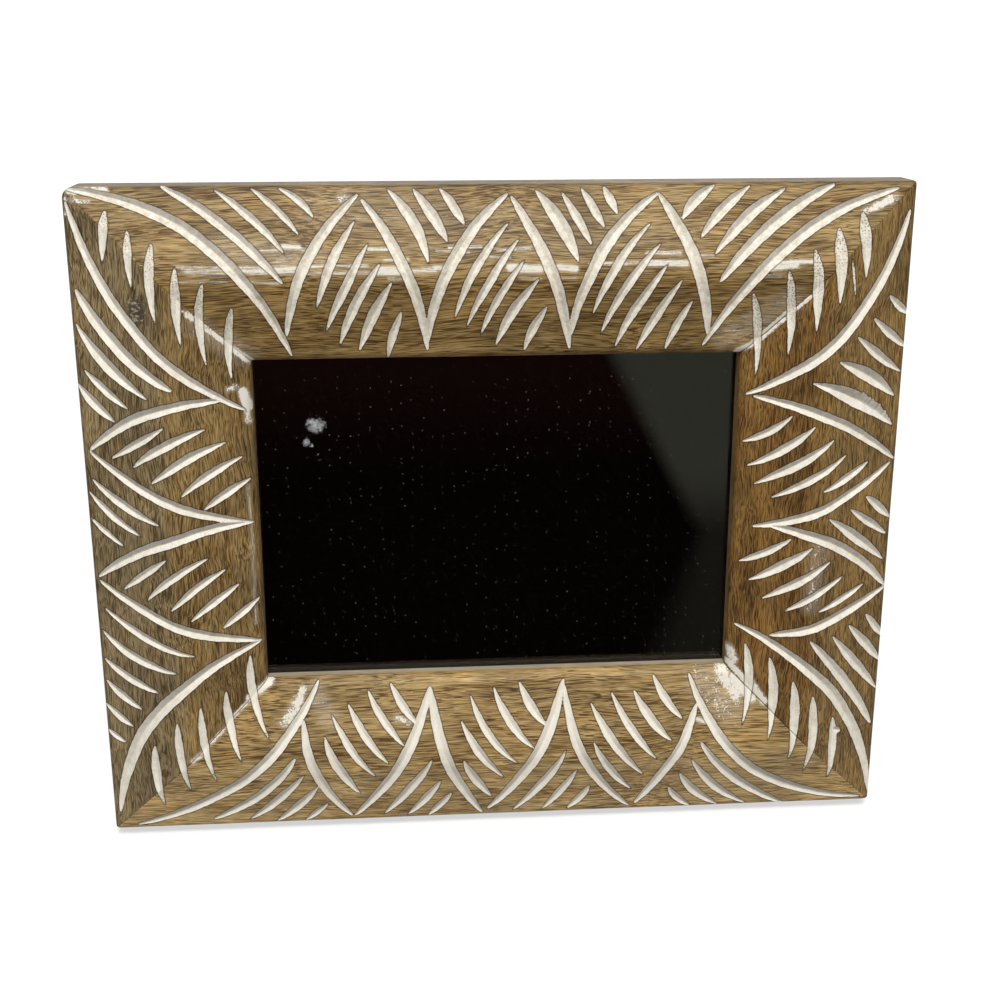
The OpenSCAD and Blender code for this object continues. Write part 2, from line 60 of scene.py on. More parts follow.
# In mm: how far the front and back of each sheet lie behind the front of the glass, with 0.02 mm between
# it and the plane where it meets the next, how far the cards stay inside the glass, and the play round
# the glass
GLASS, BLACK_CARD, FILLER_CARD = (0.0, 1.96), (2.02, 2.58), (2.62, 5.98)
CARD_INSET = 0.2
REBATE_PLAY = 0.5
# In mm: radius of the shank and the head of a rivet, and how high the head is
RIVET_SHANK, RIVET_HEAD, RIVET_RISE = 1.5, 2.7, 0.8
# In mm: how far the screws of the turn buttons stand from the ends of the board, and from the bottom and
# the top edge of the frame
BUTTON_END, BUTTON_LOW = 29, 43.0

# Gouges of each rail, in mm from the middle of the frame, x to the right and y up:
# (start x, start y, end x, end y, bow, width). The bow is how far the middle stands off the straight
# line, to the left of the way from start to end, and the width is the widest part of the cut.
TOP_GOUGES = (
    (-138.3, 113.9, -68.6, 58.9, 13.6, 3.4), (-108.3, 114.6, -70.1, 84.0, 2.6, 2.8),
    (-92.3, 113.9, -68.8, 92.8, 1.4, 2.2), (-80.4, 114.1, -64.3, 98.8, 1.0, 1.9),
    (-71.4, 113.9, -59.6, 104.1, 1.2, 1.9), (-70, 66, -45.3, 111.7, 5.2, 2.9),
    (-44.7, 110.3, -23.8, 60.5, 4.2, 3.0), (-23.8, 63, 3.2, 111.6, 6.1, 3.2),
    (3.8, 110.8, 23.7, 60.2, 3.3, 3.2), (24, 65, 52.6, 111.5, 6.7, 3.2),
    (52.3, 111.3, 70.2, 64.5, 3.4, 3.3), (68.8, 60.4, 133.5, 112.3, 10, 3.3),
    (72.3, 82.9, 111.6, 113.6, 3.3, 3.5), (70.3, 91.4, 95.7, 112.9, 1.8, 3.3),
    (65.7, 96.5, 83.5, 113.6, 1.3, 3.0), (59.9, 102.5, 71.6, 113.8, 1.2, 3.0),
    (-59.9, 75, -46.1, 104.2, 1.7, 2.5), (-57.3, 67, -42.2, 97.1, 0.8, 2.5),
    (-52.9, 62.1, -38.3, 91.1, 1.5, 2.8), (-46.6, 60.1, -34.8, 84.8, 1.0, 3.0),
    (-37.1, 57.3, -31.9, 75.1, 0.6, 2.3), (-36.6, 113.6, -23.1, 89.5, 2.3, 3.0),
    (-28.1, 113.6, -16.6, 96.1, 0.6, 2.9), (-19.5, 113.6, -10.9, 101.3, 0.4, 2.4),
    (-15, 70.9, 3.8, 103.1, 2.7, 2.3), (-11.1, 67.9, 6.9, 98.1, 1.7, 2.3),
    (-6.3, 65, 8.4, 91.4, 1.5, 2.2), (-1.3, 61.4, 13.1, 85.3, 1.5, 2.9),
    (8.4, 59.5, 15.9, 75.8, 0.9, 2.5), (11.6, 112.8, 25.8, 89.5, 1.5, 3.8),
    (20.3, 112.3, 30.4, 94.6, 0.2, 2.3), (26.7, 113.3, 34.7, 100.1, 0.2, 2.3),
    (34.1, 113.7, 38.8, 104.5, 0.2, 2.3), (30.6, 71.5, 50.3, 102.5, 2.8, 2.4),
    (33.8, 64.5, 53.5, 96.1, 2.6, 2.5), (38.8, 60, 55.4, 89.5, 1.5, 2.6),
    (46, 58.6, 60.3, 84.5, 0.8, 2.6), (56, 58.9, 64.3, 77.3, 0.8, 2.3),
)
BOTTOM_GOUGES = (
    (-64.2, -58, -131.7, -112.8, 10, 3.3), (-70, -71, -53.7, -112.6, -3.9, 3.0),
    (-53.2, -112.7, -24.9, -61, -3.6, 3.4), (-24.8, -61, -6.2, -113.6, -3.6, 3.4),
    (-4.5, -111.8, 23.2, -60, -3.6, 3.6), (23.3, -62, 48.5, -113, -5.7, 3.1),
    (50.1, -112.1, 71.4, -70, -1.6, 3.1), (68.6, -59.3, 136.3, -112.6, -14.2, 3.3),
    (-104.2, -111.5, -73.1, -84.3, -3.3, 3.0), (-91.7, -112.8, -70.1, -91.2, -1.3, 2.9),
    (-82, -114.3, -65.4, -97.1, -0.9, 2.8), (-71.4, -114.3, -62.3, -105.9, -0.2, 2.0),
    (-62.9, -76.5, -50.3, -102.4, -1.3, 3.0), (-60.4, -68.9, -44.4, -94.5, -1.0, 2.2),
    (-54.5, -65.3, -39.7, -88.4, -1.3, 2.4), (-47.2, -61, -34.1, -81.8, -1.3, 2.3),
    (-39.1, -59, -28.8, -74.6, -1.0, 2.4), (-42.8, -112.8, -24.3, -86.2, -1.1, 3.0),
    (-34.1, -113.4, -21.3, -96.2, -0.8, 2.7), (-26.6, -114.3, -17.3, -102.4, -0.4, 2.2),
    (-13.6, -87.1, -2.7, -105.9, -0.9, 2.9), (-14.4, -72.6, 1.6, -96.8, -1.1, 2.6),
    (-10.8, -63.9, 6.9, -90.4, -2.5, 2.3), (-2.2, -61.5, 12.8, -84.5, -2.2, 2.6),
    (7, -60.1, 17.1, -76.5, -1.1, 2.7), (4.5, -113.4, 23.8, -84.5, -1.5, 3.0),
    (15.3, -113.4, 28.1, -93.3, -0.9, 2.6), (24.7, -113.4, 33.1, -101.3, -0.8, 2.6),
    (33.3, -81.8, 49, -104.9, -1.5, 2.6), (32.4, -67.8, 52.9, -97.9, -1.5, 2.8),
    (39.9, -64.3, 57.4, -90.8, -1.4, 2.4), (48.4, -64.3, 62.4, -83.1, -1.5, 2.9),
    (55.5, -59.1, 66.5, -75.7, -1.2, 2.4), (72.6, -83.7, 107.1, -114.6, -3.4, 3.0),
    (69.3, -90.1, 93.3, -114.3, -2.7, 2.9), (65.4, -96.4, 82.4, -114.3, -1.9, 2.9),
    (62.1, -103.6, 71.8, -114.3, -1.1, 2.4),
)
LEFT_GOUGES = (
    (-138.5, 110.5, -84.5, 41, -9.8, 3.0), (-137.2, 28, -92.5, 45, 5.2, 3.0),
    (-137.3, 27.8, -84, 1.8, -3.8, 2.8), (-138, -17, -84, 1.9, 5.0, 3.2),
    (-137.8, -18, -83.4, -41.8, -3.6, 2.9), (-83.4, -41.8, -137.3, -107.4, -12.9, 3.8),
    (-137.5, 82.3, -107.6, 49.4, -3.3, 3.6), (-138.6, 71.7, -115.2, 46.2, -2.4, 3.4),
    (-137.2, 56, -122.2, 42.8, -0.6, 2.3), (-139.6, 51.2, -127.2, 38, -0.8, 2.8),
    (-130.4, 25.4, -110.6, 37.6, 0, 2.2), (-123, 22.6, -97.2, 36, 1.9, 2.8),
    (-117.2, 17.4, -90.8, 31, 1.7, 2.8), (-107.8, 12.6, -85.8, 25.6, 1.3, 2.5),
    (-100.4, 7.6, -83.6, 17.8, 0.5, 2.5), (-137.8, 18.8, -114.2, 3, -1.6, 2.6),
    (-139.2, 14.2, -121, -1.4, -1.2, 2.2), (-139.4, 4.8, -127.4, -5.6, -0.3, 1.7),
    (-129.8, -21.2, -112.8, -8.4, 0.2, 2.1), (-121.4, -24.6, -98.6, -9, 2.0, 2.3),
    (-113.4, -27.8, -93.4, -13.6, 1.1, 2.3), (-107, -31.8, -89.2, -19.4, 0.4, 2.3),
    (-96.6, -35.8, -83, -25.4, 0, 2.3), (-137.6, -27.4, -104.8, -44.6, -2.5, 2.5),
    (-139, -35.8, -111.4, -50.6, -3.1, 2.7), (-139, -46.6, -118.6, -58.6, -1.5, 2.6),
    (-138.6, -55, -125.6, -65.6, -0.9, 2.4), (-139.5, -64.3, -129.3, -72.8, -0.4, 2.2),
    (-139.4, -74.3, -132.4, -79.2, -0.5, 1.8),
)
RIGHT_GOUGES = (
    (137.7, 105.4, 84.4, 43.4, 10, 3.4), (86.8, 43, 139, 18.8, 4.2, 3.0),
    (137.6, 18, 88.8, -3.8, 3.2, 2.9), (94.5, -3.2, 139.2, -28.4, 5.3, 3.4),
    (139.4, -28.6, 96.4, -44.2, 2.0, 3.2), (84.4, -40.6, 139.5, -111.5, 12.3, 3.6),
    (131.9, 77, 141, 69.5, -0.3, 2.2), (126.3, 69.8, 141, 58, -0.3, 2.5),
    (120.4, 63.9, 139.4, 49.6, -0.4, 2.7), (114, 55.6, 137.4, 41.2, 1.4, 3.8),
    (105.2, 48.4, 137.6, 30.8, 2.4, 4.6), (83.6, 26.6, 100.4, 37, -1.4, 2.2),
    (85.4, 18, 108.2, 33.8, -1.6, 2.6), (88, 11.4, 115.2, 28.8, -1.0, 2.9),
    (93.8, 6.8, 120.4, 23, -0.8, 2.4), (111.2, 9.6, 129, 19.4, -0.5, 2.5),
    (128.4, 6.8, 139.6, -3, 0.1, 2.6), (122.4, 2.8, 138.8, -9.2, 0, 2.4),
    (113.8, 0.4, 138.2, -18.8, 0.7, 3.2), (84.2, -17.2, 102.6, -7, -1.0, 2.3),
    (88, -24, 110, -9.8, -0.9, 2.9), (92.6, -30.8, 117, -15.6, -0.3, 2.7),
    (100.6, -35, 122.6, -21.8, 0.2, 2.3), (112, -34.8, 131, -26, -0.6, 2.2),
    (132, -38, 141, -49, 0, 2.3), (125.2, -41, 140.5, -58.4, 0, 2.9),
    (118.6, -44, 140, -69.6, 0, 3.0), (110.4, -45.6, 138.2, -82.9, 1.5, 3.2),
)
MITRE_GOUGES = (
    (-125.6, 107.6, -127.6, 90.1, -0.3, 2.9), (-118.9, 101.5, -118.5, 81.9, -0.2, 2.5),
    (-111.4, 97.5, -111.3, 70.9, -1.1, 3.1), (-104.1, 90.1, -103.8, 62.9, -0.8, 2.9),
    (-95.6, 85, -95.9, 55.4, -2.1, 2.6), (-86.9, 76.7, -88.4, 50.4, -1.5, 2.7),
    (83.8, 79.5, 87.2, 48.4, 1.8, 2.7), (95.1, 87, 97.1, 55.6, 1.6, 2.8),
    (104.1, 93.4, 105.8, 64.6, 0.8, 3.5), (112.4, 100.1, 113.2, 73.9, 0.2, 4.0),
    (120.4, 105.1, 122.4, 82.1, 0.5, 3.8), (116.6, 90.8, 119.4, 74.5, 0, 0.8),
    (88.4, -47.6, 87.3, -79.6, 2.6, 2.9), (97, -52.4, 96.8, -85.1, 2.2, 3.2),
    (105.4, -60.9, 105.4, -93.7, 1.4, 3.3), (112.9, -66.8, 111.9, -99.9, 1.4, 3.4),
    (121.6, -76.6, 121.5, -103.4, 0.9, 3.3), (-87.6, -46.4, -81.3, -78.9, -2.7, 2.8),
    (-96.4, -58.9, -91.4, -86.5, -1.6, 2.7), (-105.3, -63.3, -100.9, -94.6, -1.4, 2.5),
    (-113.6, -69, -110.4, -98.5, -1.1, 2.8), (-122.3, -78.7, -120.4, -104.9, -1.0, 3.2),
    (121.2, -81.9, 125.8, -83.3, 0, 2.8),
)
GOUGES = TOP_GOUGES + BOTTOM_GOUGES + LEFT_GOUGES + RIGHT_GOUGES + MITRE_GOUGES

# White wash left on the surface: (start x, start y, end x, end y, width, strength), in mm as above. Lines
# lie along the grain, mostly on the ridges, and blots are spattered or wiped across it.
WASH_LINES = (
    (-103.3, 89.8, -90.5, 89.6, 0.9, 0.6), (-100.6, 88.5, -86.1, 88.3, 2.6, 0.5),
    (-86.1, 88.8, -64.5, 88.6, 2.6, 0.8), (-103.6, 85.3, -88.1, 85.1, 1.0, 0.4),
    (-81.6, 85.0, -71.3, 84.4, 1.0, 0.65), (-69.6, 95.6, -64.8, 95.5, 2.0, 0.9),
    (-76.8, 94.7, -71.0, 94.7, 0.9, 0.75), (-71.7, 91.6, -68.4, 91.5, 1.0, 0.55),
    (-42.6, 94.7, -36.1, 94.6, 1.0, 0.9), (-64.3, 94.7, -60.8, 94.7, 1.0, 0.65),
    (-37.5, 91.3, -29.6, 91.4, 1.0, 0.75), (-62.3, 89.7, -42.7, 89.5, 0.9, 0.7),
    (-62.4, 87.6, -39.6, 87.3, 1.4, 0.6), (-39.6, 88.0, -33.0, 88.0, 3.0, 1.0),
    (-29.7, 87.9, -21.3, 88.1, 2.0, 0.8), (-36.3, 85.4, -30.4, 85.3, 0.9, 0.65),
    (-16.6, 95.0, -6.0, 95.2, 0.9, 0.65), (-20.6, 94.1, -10.1, 93.5, 0.9, 0.65),
    (-0.8, 93.9, 9.9, 94.4, 1.0, 0.7), (-21.2, 88.8, -15.5, 88.4, 2.0, 0.7),
    (3.1, 88.5, 13.0, 88.0, 2.7, 0.9), (19.0, 88.6, 24.5, 87.9, 2.4, 0.95),
    (6.3, 85.2, 13.0, 84.8, 0.9, 0.5), (-3.5, 92.1, 3.2, 91.7, 0.9, 0.5),
    (46.6, 89.5, 61.0, 89.3, 2.0, 0.95), (29.0, 89.5, 62.5, 89.5, 0.9, 0.65),
    (48.5, 92.5, 59.0, 92.4, 1.6, 0.6), (20.0, 85.0, 24.5, 85.0, 1.2, 0.5),
    (86.6, 87.6, 97.5, 88.6, 2.9, 1.1), (84.5, 84.8, 92.5, 84.6, 1.2, 0.45),
    (64.0, 91.5, 70.0, 91.5, 0.9, 0.65), (95.5, 89.3, 103.0, 89.3, 1.5, 1.0),
    (-85.2, 15, -85.0, -35, 1.6, 0.3), (71, -75.4, 75, -76.6, 1.8, 0.8), (-109, -84, -105, -81, 2.2, 0.8),
    (-60, 107, -20, 106, 12.0, 0.1), (-40, 100, 60, 100, 16.0, 0.06), (-90, 96, -60, 92, 9.0, 0.2),
    (-65.5, -62.0, -61.0, -71.0, 7.0, 0.3), (76.0, 63.0, 97.0, 76.0, 9.0, 0.28),
    (-98.0, 70.0, -84.0, 60.0, 8.0, 0.24),
)
WASH_BLOTS = (
    (-137, 113.4, -125.6, 113.3, 2.2, 1.0), (-136.5, 110.6, -131, 110.0, 1.8, 0.5),
    (-138.2, 111, -138.4, 106, 1.2, 0.6), (-101.5, 74.5, -82.4, 57.6, 1.9, 0.85),
    (-106, 77.5, -101, 74.5, 0.9, 0.6), (-88, 62.2, -82.6, 57.8, 2.6, 1.0),
    (121.5, 105.1, 131.8, 109.4, 3.0, 0.45), (124.0, 105.9, 130.2, 108.6, 2.6, 0.95),
    (98.5, 74.4, 84.5, 60.4, 1.3, 0.9), (103.5, 77.6, 86.5, 60.6, 1.3, 0.85),
    (81.1, 58.4, 86.0, 61.1, 2.4, 0.95), (80.6, -59.6, 85.9, -67.0, 5.6, 0.84),
    (84.8, -61.4, 91.3, -69.0, 3.6, 0.85), (83.1, -50.2, 85.0, -54.9, 3.2, 0.72),
    (83.2, -55.8, 89.2, -62.5, 2.4, 1.0), (91.1, -62.8, 96.0, -70.2, 2.8, 1.0),
    (74.3, -63.2, 83.3, -71.0, 12.0, 0.34), (-81.4, -57.8, -88.5, -62.9, 2.9, 1.0),
    (-88.5, -63.3, -94.6, -69.3, 1.5, 0.8), (-97.6, -73.0, -102.5, -78.0, 1.8, 0.6),
    (-69.8, -60.8, -72.4, -66.8, 2.8, 0.84), (-71.6, -65.4, -74.8, -70.6, 5.0, 0.7),
    (-74.6, -69.4, -76.6, -72.0, 4.4, 0.5), (-85.2, 47.2, -83.9, 42.3, 3.2, 1.1),
    (-84.2, 41.6, -84.0, 37.2, 2.4, 0.55), (-90.0, 48.5, -87.5, 49.3, 2.4, 0.45),
    (-37, -71.6, -32, -73.0, 2.6, 0.6), (111.5, -11.5, 110.0, -32.0, 7.0, 0.27),
    (-50.5, 110.8, -48, 109.8, 4.0, 0.4),
)
# Smear dried on the glass near its upper left corner: (x, height above the bottom edge, half width, half
# height), in mm.
SMEARS = (
    (-61.9, 147.9, 4.2, 3.6), (-64.0, 149.2, 2.4, 1.8), (-65.4, 142.2, 1.7, 2.0),
    (-63.9, 140.9, 1.3, 1.0), (-61.9, 137.7, 0.6, 0.8), (-61.2, 136.2, 1.7, 0.55),
)
# Marks in the wood: (x, y, radius along the grain, radius across it, darkness, swirl of the grain), in mm.
KNOTS = (
    (-117.4, 75.6, 5.4, 3.1, 0.9, 2.4), (-137.0, 59.5, 5.0, 3.2, -0.25, 2.0),
    (-120.0, -80.0, 11.0, 4.5, 0.34, 5.0), (-31.0, 83.0, 5.0, 2.2, 0.45, 1.2),
    (62.0, 68.0, 12.0, 4.0, 0.10, 2.2), (15.0, 62.0, 14.0, 4.0, 0.12, 1.6),
    (-86.5, 57.0, 9.0, 3.0, 0.30, 0.6), (-86.0, 30.0, 12.0, 3.5, 0.26, 0.8),
    (-87.0, -26.0, 14.0, 4.0, 0.22, 0.8), (85.0, 22.0, 22.0, 3.0, 0.24, 0.4),
    (86.5, -30.0, 12.0, 4.0, 0.26, 0.6), (122.0, -62.0, 14.0, 5.0, 0.22, 1.2),
)


def hex_colour(code):
    """Turns an sRGB hex value into linear red, green and blue."""
    parts = [int(code[i:i + 2], 16) / 255 for i in (1, 3, 5)]
    return tuple(c / 12.92 if c <= 0.04045 else ((c + 0.055) / 1.055) ** 2.4 for c in parts)


def colour_property(label, note, code):
    """A colour given as an sRGB hex value."""
    return bpy.props.FloatVectorProperty(
        name=label, description=note, subtype="COLOR", size=3, min=0, max=1, default=hex_colour(code))


def length_property(label, note, metres):
    """A length in metres."""
    return bpy.props.FloatProperty(name=label, description=note, default=metres, min=0, unit="LENGTH")


def angle_property(label, note, degrees):
    """An angle given in degrees."""
    return bpy.props.FloatProperty(name=label, description=note, default=radians(degrees), unit="ROTATION")


def number_property(label, note, value, low=0.0, high=10.0):
    """A plain number between two limits."""
    return bpy.props.FloatProperty(name=label, description=note, default=value, min=low, max=high)


# The frame is as wide as its solids
outer_left, outer_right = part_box("left_rail")[0].x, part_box("right_rail")[1].x


class FrameSizes(bpy.types.PropertyGroup):
    """Sizes of the rails and of what they hold, the same as in the solids."""

    width: length_property("Width", "Over the outer edges", outer_right - outer_left)
    height: length_property("Height", "Over the outer edges, in the plane of the frame", 0.229)
    rail_width: length_property("Rail width", "From the outer edge to the sight edge", 0.057)
    edge_thickness: length_property("Edge thickness", "Of the rails at the outer edge", 0.015)
    edge_radius: length_property("Edge radius", "Of the arris along the outer edge", 0.0012)
    ridge_height: length_property("Ridge height", "At which the two bevels would meet", 0.0251)
    ridge_inset: length_property("Ridge inset", "From the outer edge", 0.029)
    ridge_radius: length_property("Ridge radius", "Of the rounded ridge", 0.018)
    sight_height: length_property("Sight height", "Of the inner bevel at the sight edge", 0.0163)
    sight_radius: length_property("Sight radius", "Of the roll at the sight edge", 0.004)
    lip_width: length_property("Lip width", "Width of the rebate behind the lip", 0.007)
    rebate_depth: length_property("Rebate depth", "From the back to the glass", 0.0095)
    corner_radius: length_property("Corner radius", "Of the worn upper left corner", 0.0037)
    crisp_radius: length_property("Crisp radius", "Of the other three outer corners", 0.0012)
    back_radius: length_property("Back radius", "Of the arris along the rear outer edge", 0.0012)
    lean: angle_property("Lean", "Angle by which the frame leans back", 15)
    leg_angle: angle_property("Leg angle", "Between the open leg and the frame", 28)
    pin_back: length_property("Pin distance", "Of the hinge pin behind the rails", 0.00215)
    pin_height: length_property("Pin height", "Of the hinge pin above the bottom edge", 0.15)
    grid_step: length_property("Grid step", "Of the carved surface", 0.00042)


class CarvingStyle(bpy.types.PropertyGroup):
    """How the gouges are cut and filled."""

    slope: number_property("Slope", "Depth of a gouge over its half width", 0.7, 0.1, 1.5)
    spread: number_property("Spread", "Width of the cuts over the listed widths", 1.17, 0.5, 1.5)
    floor_radius: length_property("Floor radius", "Of the bottom of a gouge", 0.0002)
    floor_shift: number_property(
        "Floor shift", "How far the floor of a level cut lies below its middle, in half widths", 0.12, 0, 0.6)
    hand: number_property(
        "Hand", "How far the edges of a gouge wander, in parts of the usual amount", 1.1, 0, 3)
    long_taper: number_property(
        "Long taper", "How the long gouges narrow to their ends: 1 is a lens, 0 a bar", 0.5, 0.1, 1.5)
    short_taper: number_property("Short taper", "How the short gouges narrow to their ends", 1.02, 0.1, 1.5)
    mitre_taper: number_property(
        "Mitre taper", "How the cuts across the mitres narrow to their ends", 1.25, 0.1, 2)
    mitre_tail: number_property(
        "Mitre tail", "Below 1, the cuts across the mitres are widest above their middle", 0.72, 0.4, 1)
    wash: colour_property("Wash", "White wash that fills the gouges", "#EDE7D9")
    # Painted shade, together with a thinner wash: the upper wall of a level cut gets this greyer colour, as
    # if light from above left it in shade
    wash_and_painted_shade: colour_property("Shaded wash", "Thinner, greyer wash on the upper wall of a cut", "#A29C93")
    wash_thin: colour_property("Thin wash", "Where the wood shows through the wash", "#C4B69B")
    lip_wash: colour_property("Lip wash", "Thin grey wash on the sight edge", "#A59C8A")


class WoodColours(bpy.types.PropertyGroup):
    """Colour of the wood on the outer and the inner bevel of each rail."""

    top_outer: colour_property("Top outer", "Outer bevel of the top rail", "#907A50")
    top_inner: colour_property("Top inner", "Inner bevel of the top rail", "#8A7245")
    bottom_outer: colour_property("Bottom outer", "Outer bevel of the bottom rail", "#B09767")
    bottom_inner: colour_property("Bottom inner", "Inner bevel of the bottom rail", "#967F54")
    left_outer: colour_property("Left outer", "Outer bevel of the left rail", "#7E6F51")
    left_inner: colour_property("Left inner", "Inner bevel of the left rail", "#826C44")
    right_outer: colour_property("Right outer", "Outer bevel of the right rail", "#7F673D")
    right_inner: colour_property("Right inner", "Inner bevel of the right rail", "#785B2F")
    # The rims that this colour gives round the cuts are partly painted shade
    pores: colour_property("Pores", "Dark pores and rims", "#2E1D0B")
    knot: colour_property("Knot", "Dark heart of a knot", "#43372F")


class FittingColours(bpy.types.PropertyGroup):
    """Colours of the board, the leg and the metal."""

    board: colour_property("Back board", "Stained fibreboard", "#4A3527")
    board_fibre: colour_property("Board fibre", "Lighter fibres in the board", "#6B5140")
    leg: colour_property("Leg", "Dark paint of the leg", "#2C2520")
    leg_edge: colour_property("Leg edge", "Worn edge of the leg", "#5A4636")
    card: colour_property("Black card", "Card behind the glass", "#0C0606")
    filler: colour_property("Filler card", "Grey-brown packing card", "#A3936F")
    zinc: colour_property("Zinc", "Zinc plate on steel", "#B9B8B2")
    brass: colour_property("Brass", "Dull brass plate", "#C8A458")


class StageSettings(bpy.types.PropertyGroup):
    """Camera and lamps."""

    lens: bpy.props.FloatProperty(name="Lens", description="Focal length", default=52.84, unit="CAMERA")
    camera_place: bpy.props.FloatVectorProperty(
        name="Camera place", description="In the frame's own axes", size=3, subtype="TRANSLATION",
        unit="LENGTH", default=(-0.03688, -0.41180, 0.39128))
    camera_turn: bpy.props.FloatVectorProperty(
        name="Camera turn", description="About X, Y and Z", size=3, subtype="EULER",
        default=(radians(57.893), radians(-1.092), radians(-4.293)))
    key: number_property("Key", "Light of the soft key on a facing surface", 1.0)
    back: number_property("Back light", "Light of the lamp behind", 0.3)
    sky: number_property("Sky", "Light from all round", 0.26)


# Points are worked out in mm in the plane of the frame: x to the right, y backwards from the back of the
# rails and z up from the bottom edge. These take them to where the leaning frame stands, in metres.
def leaned(points):
    """Leans points back about the rear bottom edge."""
    a = bpy.context.scene.frame_sizes.lean
    x, y, z = np.moveaxis(np.asarray(points, float), -1, 0)
    return np.stack([x, y * cos(a) + z * sin(a), z * cos(a) - y * sin(a)], -1) * MM


def opened(points):
    """Turns points drawn beside the folded leg about the hinge pin, to the open leg."""
    s = bpy.context.scene.frame_sizes
    a, py, pz = s.leg_angle, s.pin_back / MM, s.pin_height / MM
    x, y, z = np.moveaxis(np.asarray(points, float), -1, 0)
    y, z = y - py, z - pz
    return np.stack([x, py + y * cos(a) - z * sin(a), pz + y * sin(a) + z * cos(a)], -1)


def smooth_step(low, high, value):
    """0 below low, 1 above high, and an even S curve between them."""
    t = np.clip((value - low) / (high - low), 0, 1)
    return t * t * (3 - 2 * t)


def finish_piece(obj, material, body, nodes):
    """Gives a piece its finish, lets it ride on its body and lets it stand for its CAD nodes."""
    for m in material if isinstance(material, (list, tuple)) else [material]:
        obj.data.materials.append(m)
    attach(obj, body)
    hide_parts(*nodes)
    return obj


def mesh_object(name, points, faces):
    """Makes a smooth mesh object of points and of arrays of faces, one array for each number of corners."""
    mesh = bpy.data.meshes.new(name)
    faces = [np.atleast_2d(f) for f in faces]
    corners = np.concatenate([f.ravel() for f in faces]).astype(np.int32)
    sizes = np.concatenate([np.full(len(f), f.shape[1]) for f in faces])
    mesh.vertices.add(len(points))
    mesh.vertices.foreach_set("co", np.asarray(points, np.float32).ravel())
    mesh.loops.add(len(corners))
    mesh.loops.foreach_set("vertex_index", corners)
    mesh.polygons.add(len(sizes))
    mesh.polygons.foreach_set("loop_start", np.concatenate([[0], np.cumsum(sizes)[:-1]]).astype(np.int32))
    mesh.polygons.foreach_set("use_smooth", np.ones(len(sizes), bool))
    mesh.update(calc_edges=True)
    mesh.validate()
    obj = bpy.data.objects.new(name, mesh)
    bpy.context.scene.collection.objects.link(obj)
    return obj


def grid_quads(rows, columns, wrap_rows=False, wrap_columns=False):
    """Faces of a grid of rows times columns of points, closed on itself where it wraps."""
    r = np.arange(rows if wrap_rows else rows - 1)
    c = np.arange(columns if wrap_columns else columns - 1)
    r, c = [v.ravel() for v in np.meshgrid(r, c, indexing="ij")]
    r2, c2 = (r + 1) % rows, (c + 1) % columns
    return np.stack([r * columns + c, r * columns + c2, r2 * columns + c2, r2 * columns + c], -1)


def set_attribute(mesh, name, kind, values):
    """Stores values at the points of a mesh under that name."""
    layer = mesh.attributes.new(name, kind, "POINT")
    field = {"FLOAT": "value", "FLOAT_VECTOR": "vector", "FLOAT_COLOR": "color"}[kind]
    layer.data.foreach_set(field, np.asarray(values, np.float32).ravel())


def rounded_corner(a, p, b, radius, count):
    """Arc that rounds corner p between a and b: its middle lies on the corner's bisector."""
    a, p, b = [np.asarray(v, float) for v in (a, p, b)]
    u = (a - p) / np.linalg.norm(a - p)
    v = (b - p) / np.linalg.norm(b - p)
    half = np.arccos(np.clip(u @ v, -1, 1)) / 2
    middle = p + (u + v) / np.linalg.norm(u + v) * radius / sin(half)
    s, e = p + u * radius / np.tan(half) - middle, p + v * radius / np.tan(half) - middle
    start = atan2(s[1], s[0])
    turn = (atan2(e[1], e[0]) - start + 3 * pi) % (2 * pi) - pi
    t = start + turn * np.linspace(0, 1, count)
    return middle + radius * np.stack([np.cos(t), np.sin(t)], -1)


def rail_section():
    """Section of a rail as inset and height in mm: the front from the outer edge over the ridge to the
    sight edge as three arcs joined by straight bevels, in steps of the grid."""
    s = bpy.context.scene.frame_sizes
    step = s.grid_step / MM
    outer = (0, s.edge_thickness / MM)
    ridge = (s.ridge_inset / MM, s.ridge_height / MM)
    sight = (s.rail_width / MM, s.sight_height / MM)
    lip = (s.rail_width / MM, s.rebate_depth / MM)
    arcs = [rounded_corner((0, 0), outer, ridge, s.edge_radius / MM, 7),
            rounded_corner(outer, ridge, sight, s.ridge_radius / MM, 28),
            rounded_corner(ridge, sight, lip, s.sight_radius / MM, 13)]
    rows = [arcs[0]]
    for before, after in zip(arcs, arcs[1:]):
        length = np.linalg.norm(after[0] - before[-1])
        t = np.linspace(0, 1, int(length / step) + 2)[1:-1, None]
        rows += [before[-1] + t * (after[0] - before[-1]), after]
    return np.concatenate(rows)


def nearest_on_line(point, line):
    """For each point, the nearest place on a broken line: the distance to it, the step from it to the
    point, the number of the stretch that it lies on, and how far along the line it is, from 0 to 1."""
    step = np.diff(line, axis=0)
    best = np.full(len(point), 99.0)
    along, rank = np.zeros(len(point)), np.zeros(len(point), int)
    away = np.zeros(point.shape)
    for i in range(len(step)):
        gap = point - line[i]
        u = np.clip(gap @ step[i] / (step[i] @ step[i]), 0, 1)
        gap = gap - u[:, None] * step[i]
        d = np.hypot(gap[:, 0], gap[:, 1])
        closer = d < best
        best[closer], away[closer], rank[closer] = d[closer], gap[closer], i
        along[closer] = (i + u[closer]) / len(step)
    return best, away, rank, along


def hand_cut(half, walk, number, side):
    """Lets the edge of a cut wander as by hand: a sum of sines along it, which differs from cut to
    cut and side to side."""
    style = bpy.context.scene.carving_style
    phase = number * 2.399 + side * 1.1
    wander = 0.05 * np.sin(walk / 2.9 + phase) + 0.05 * np.sin(walk / 1.13 + 2.3 * phase)
    wander = wander + 0.025 * np.sin(walk / 0.47 + 3.7 * phase)
    return half * (1 + 0.05 * np.sin(walk / 5.3 + 1.7 * phase)) + style.hand * wander * np.minimum(half, 1)


# In mm: a cut longer than LONG_CUT tapers as the long ones do, and one wider than TORN_WIDTH has torn teeth
LONG_CUT = 40
TORN_WIDTH = 4.5


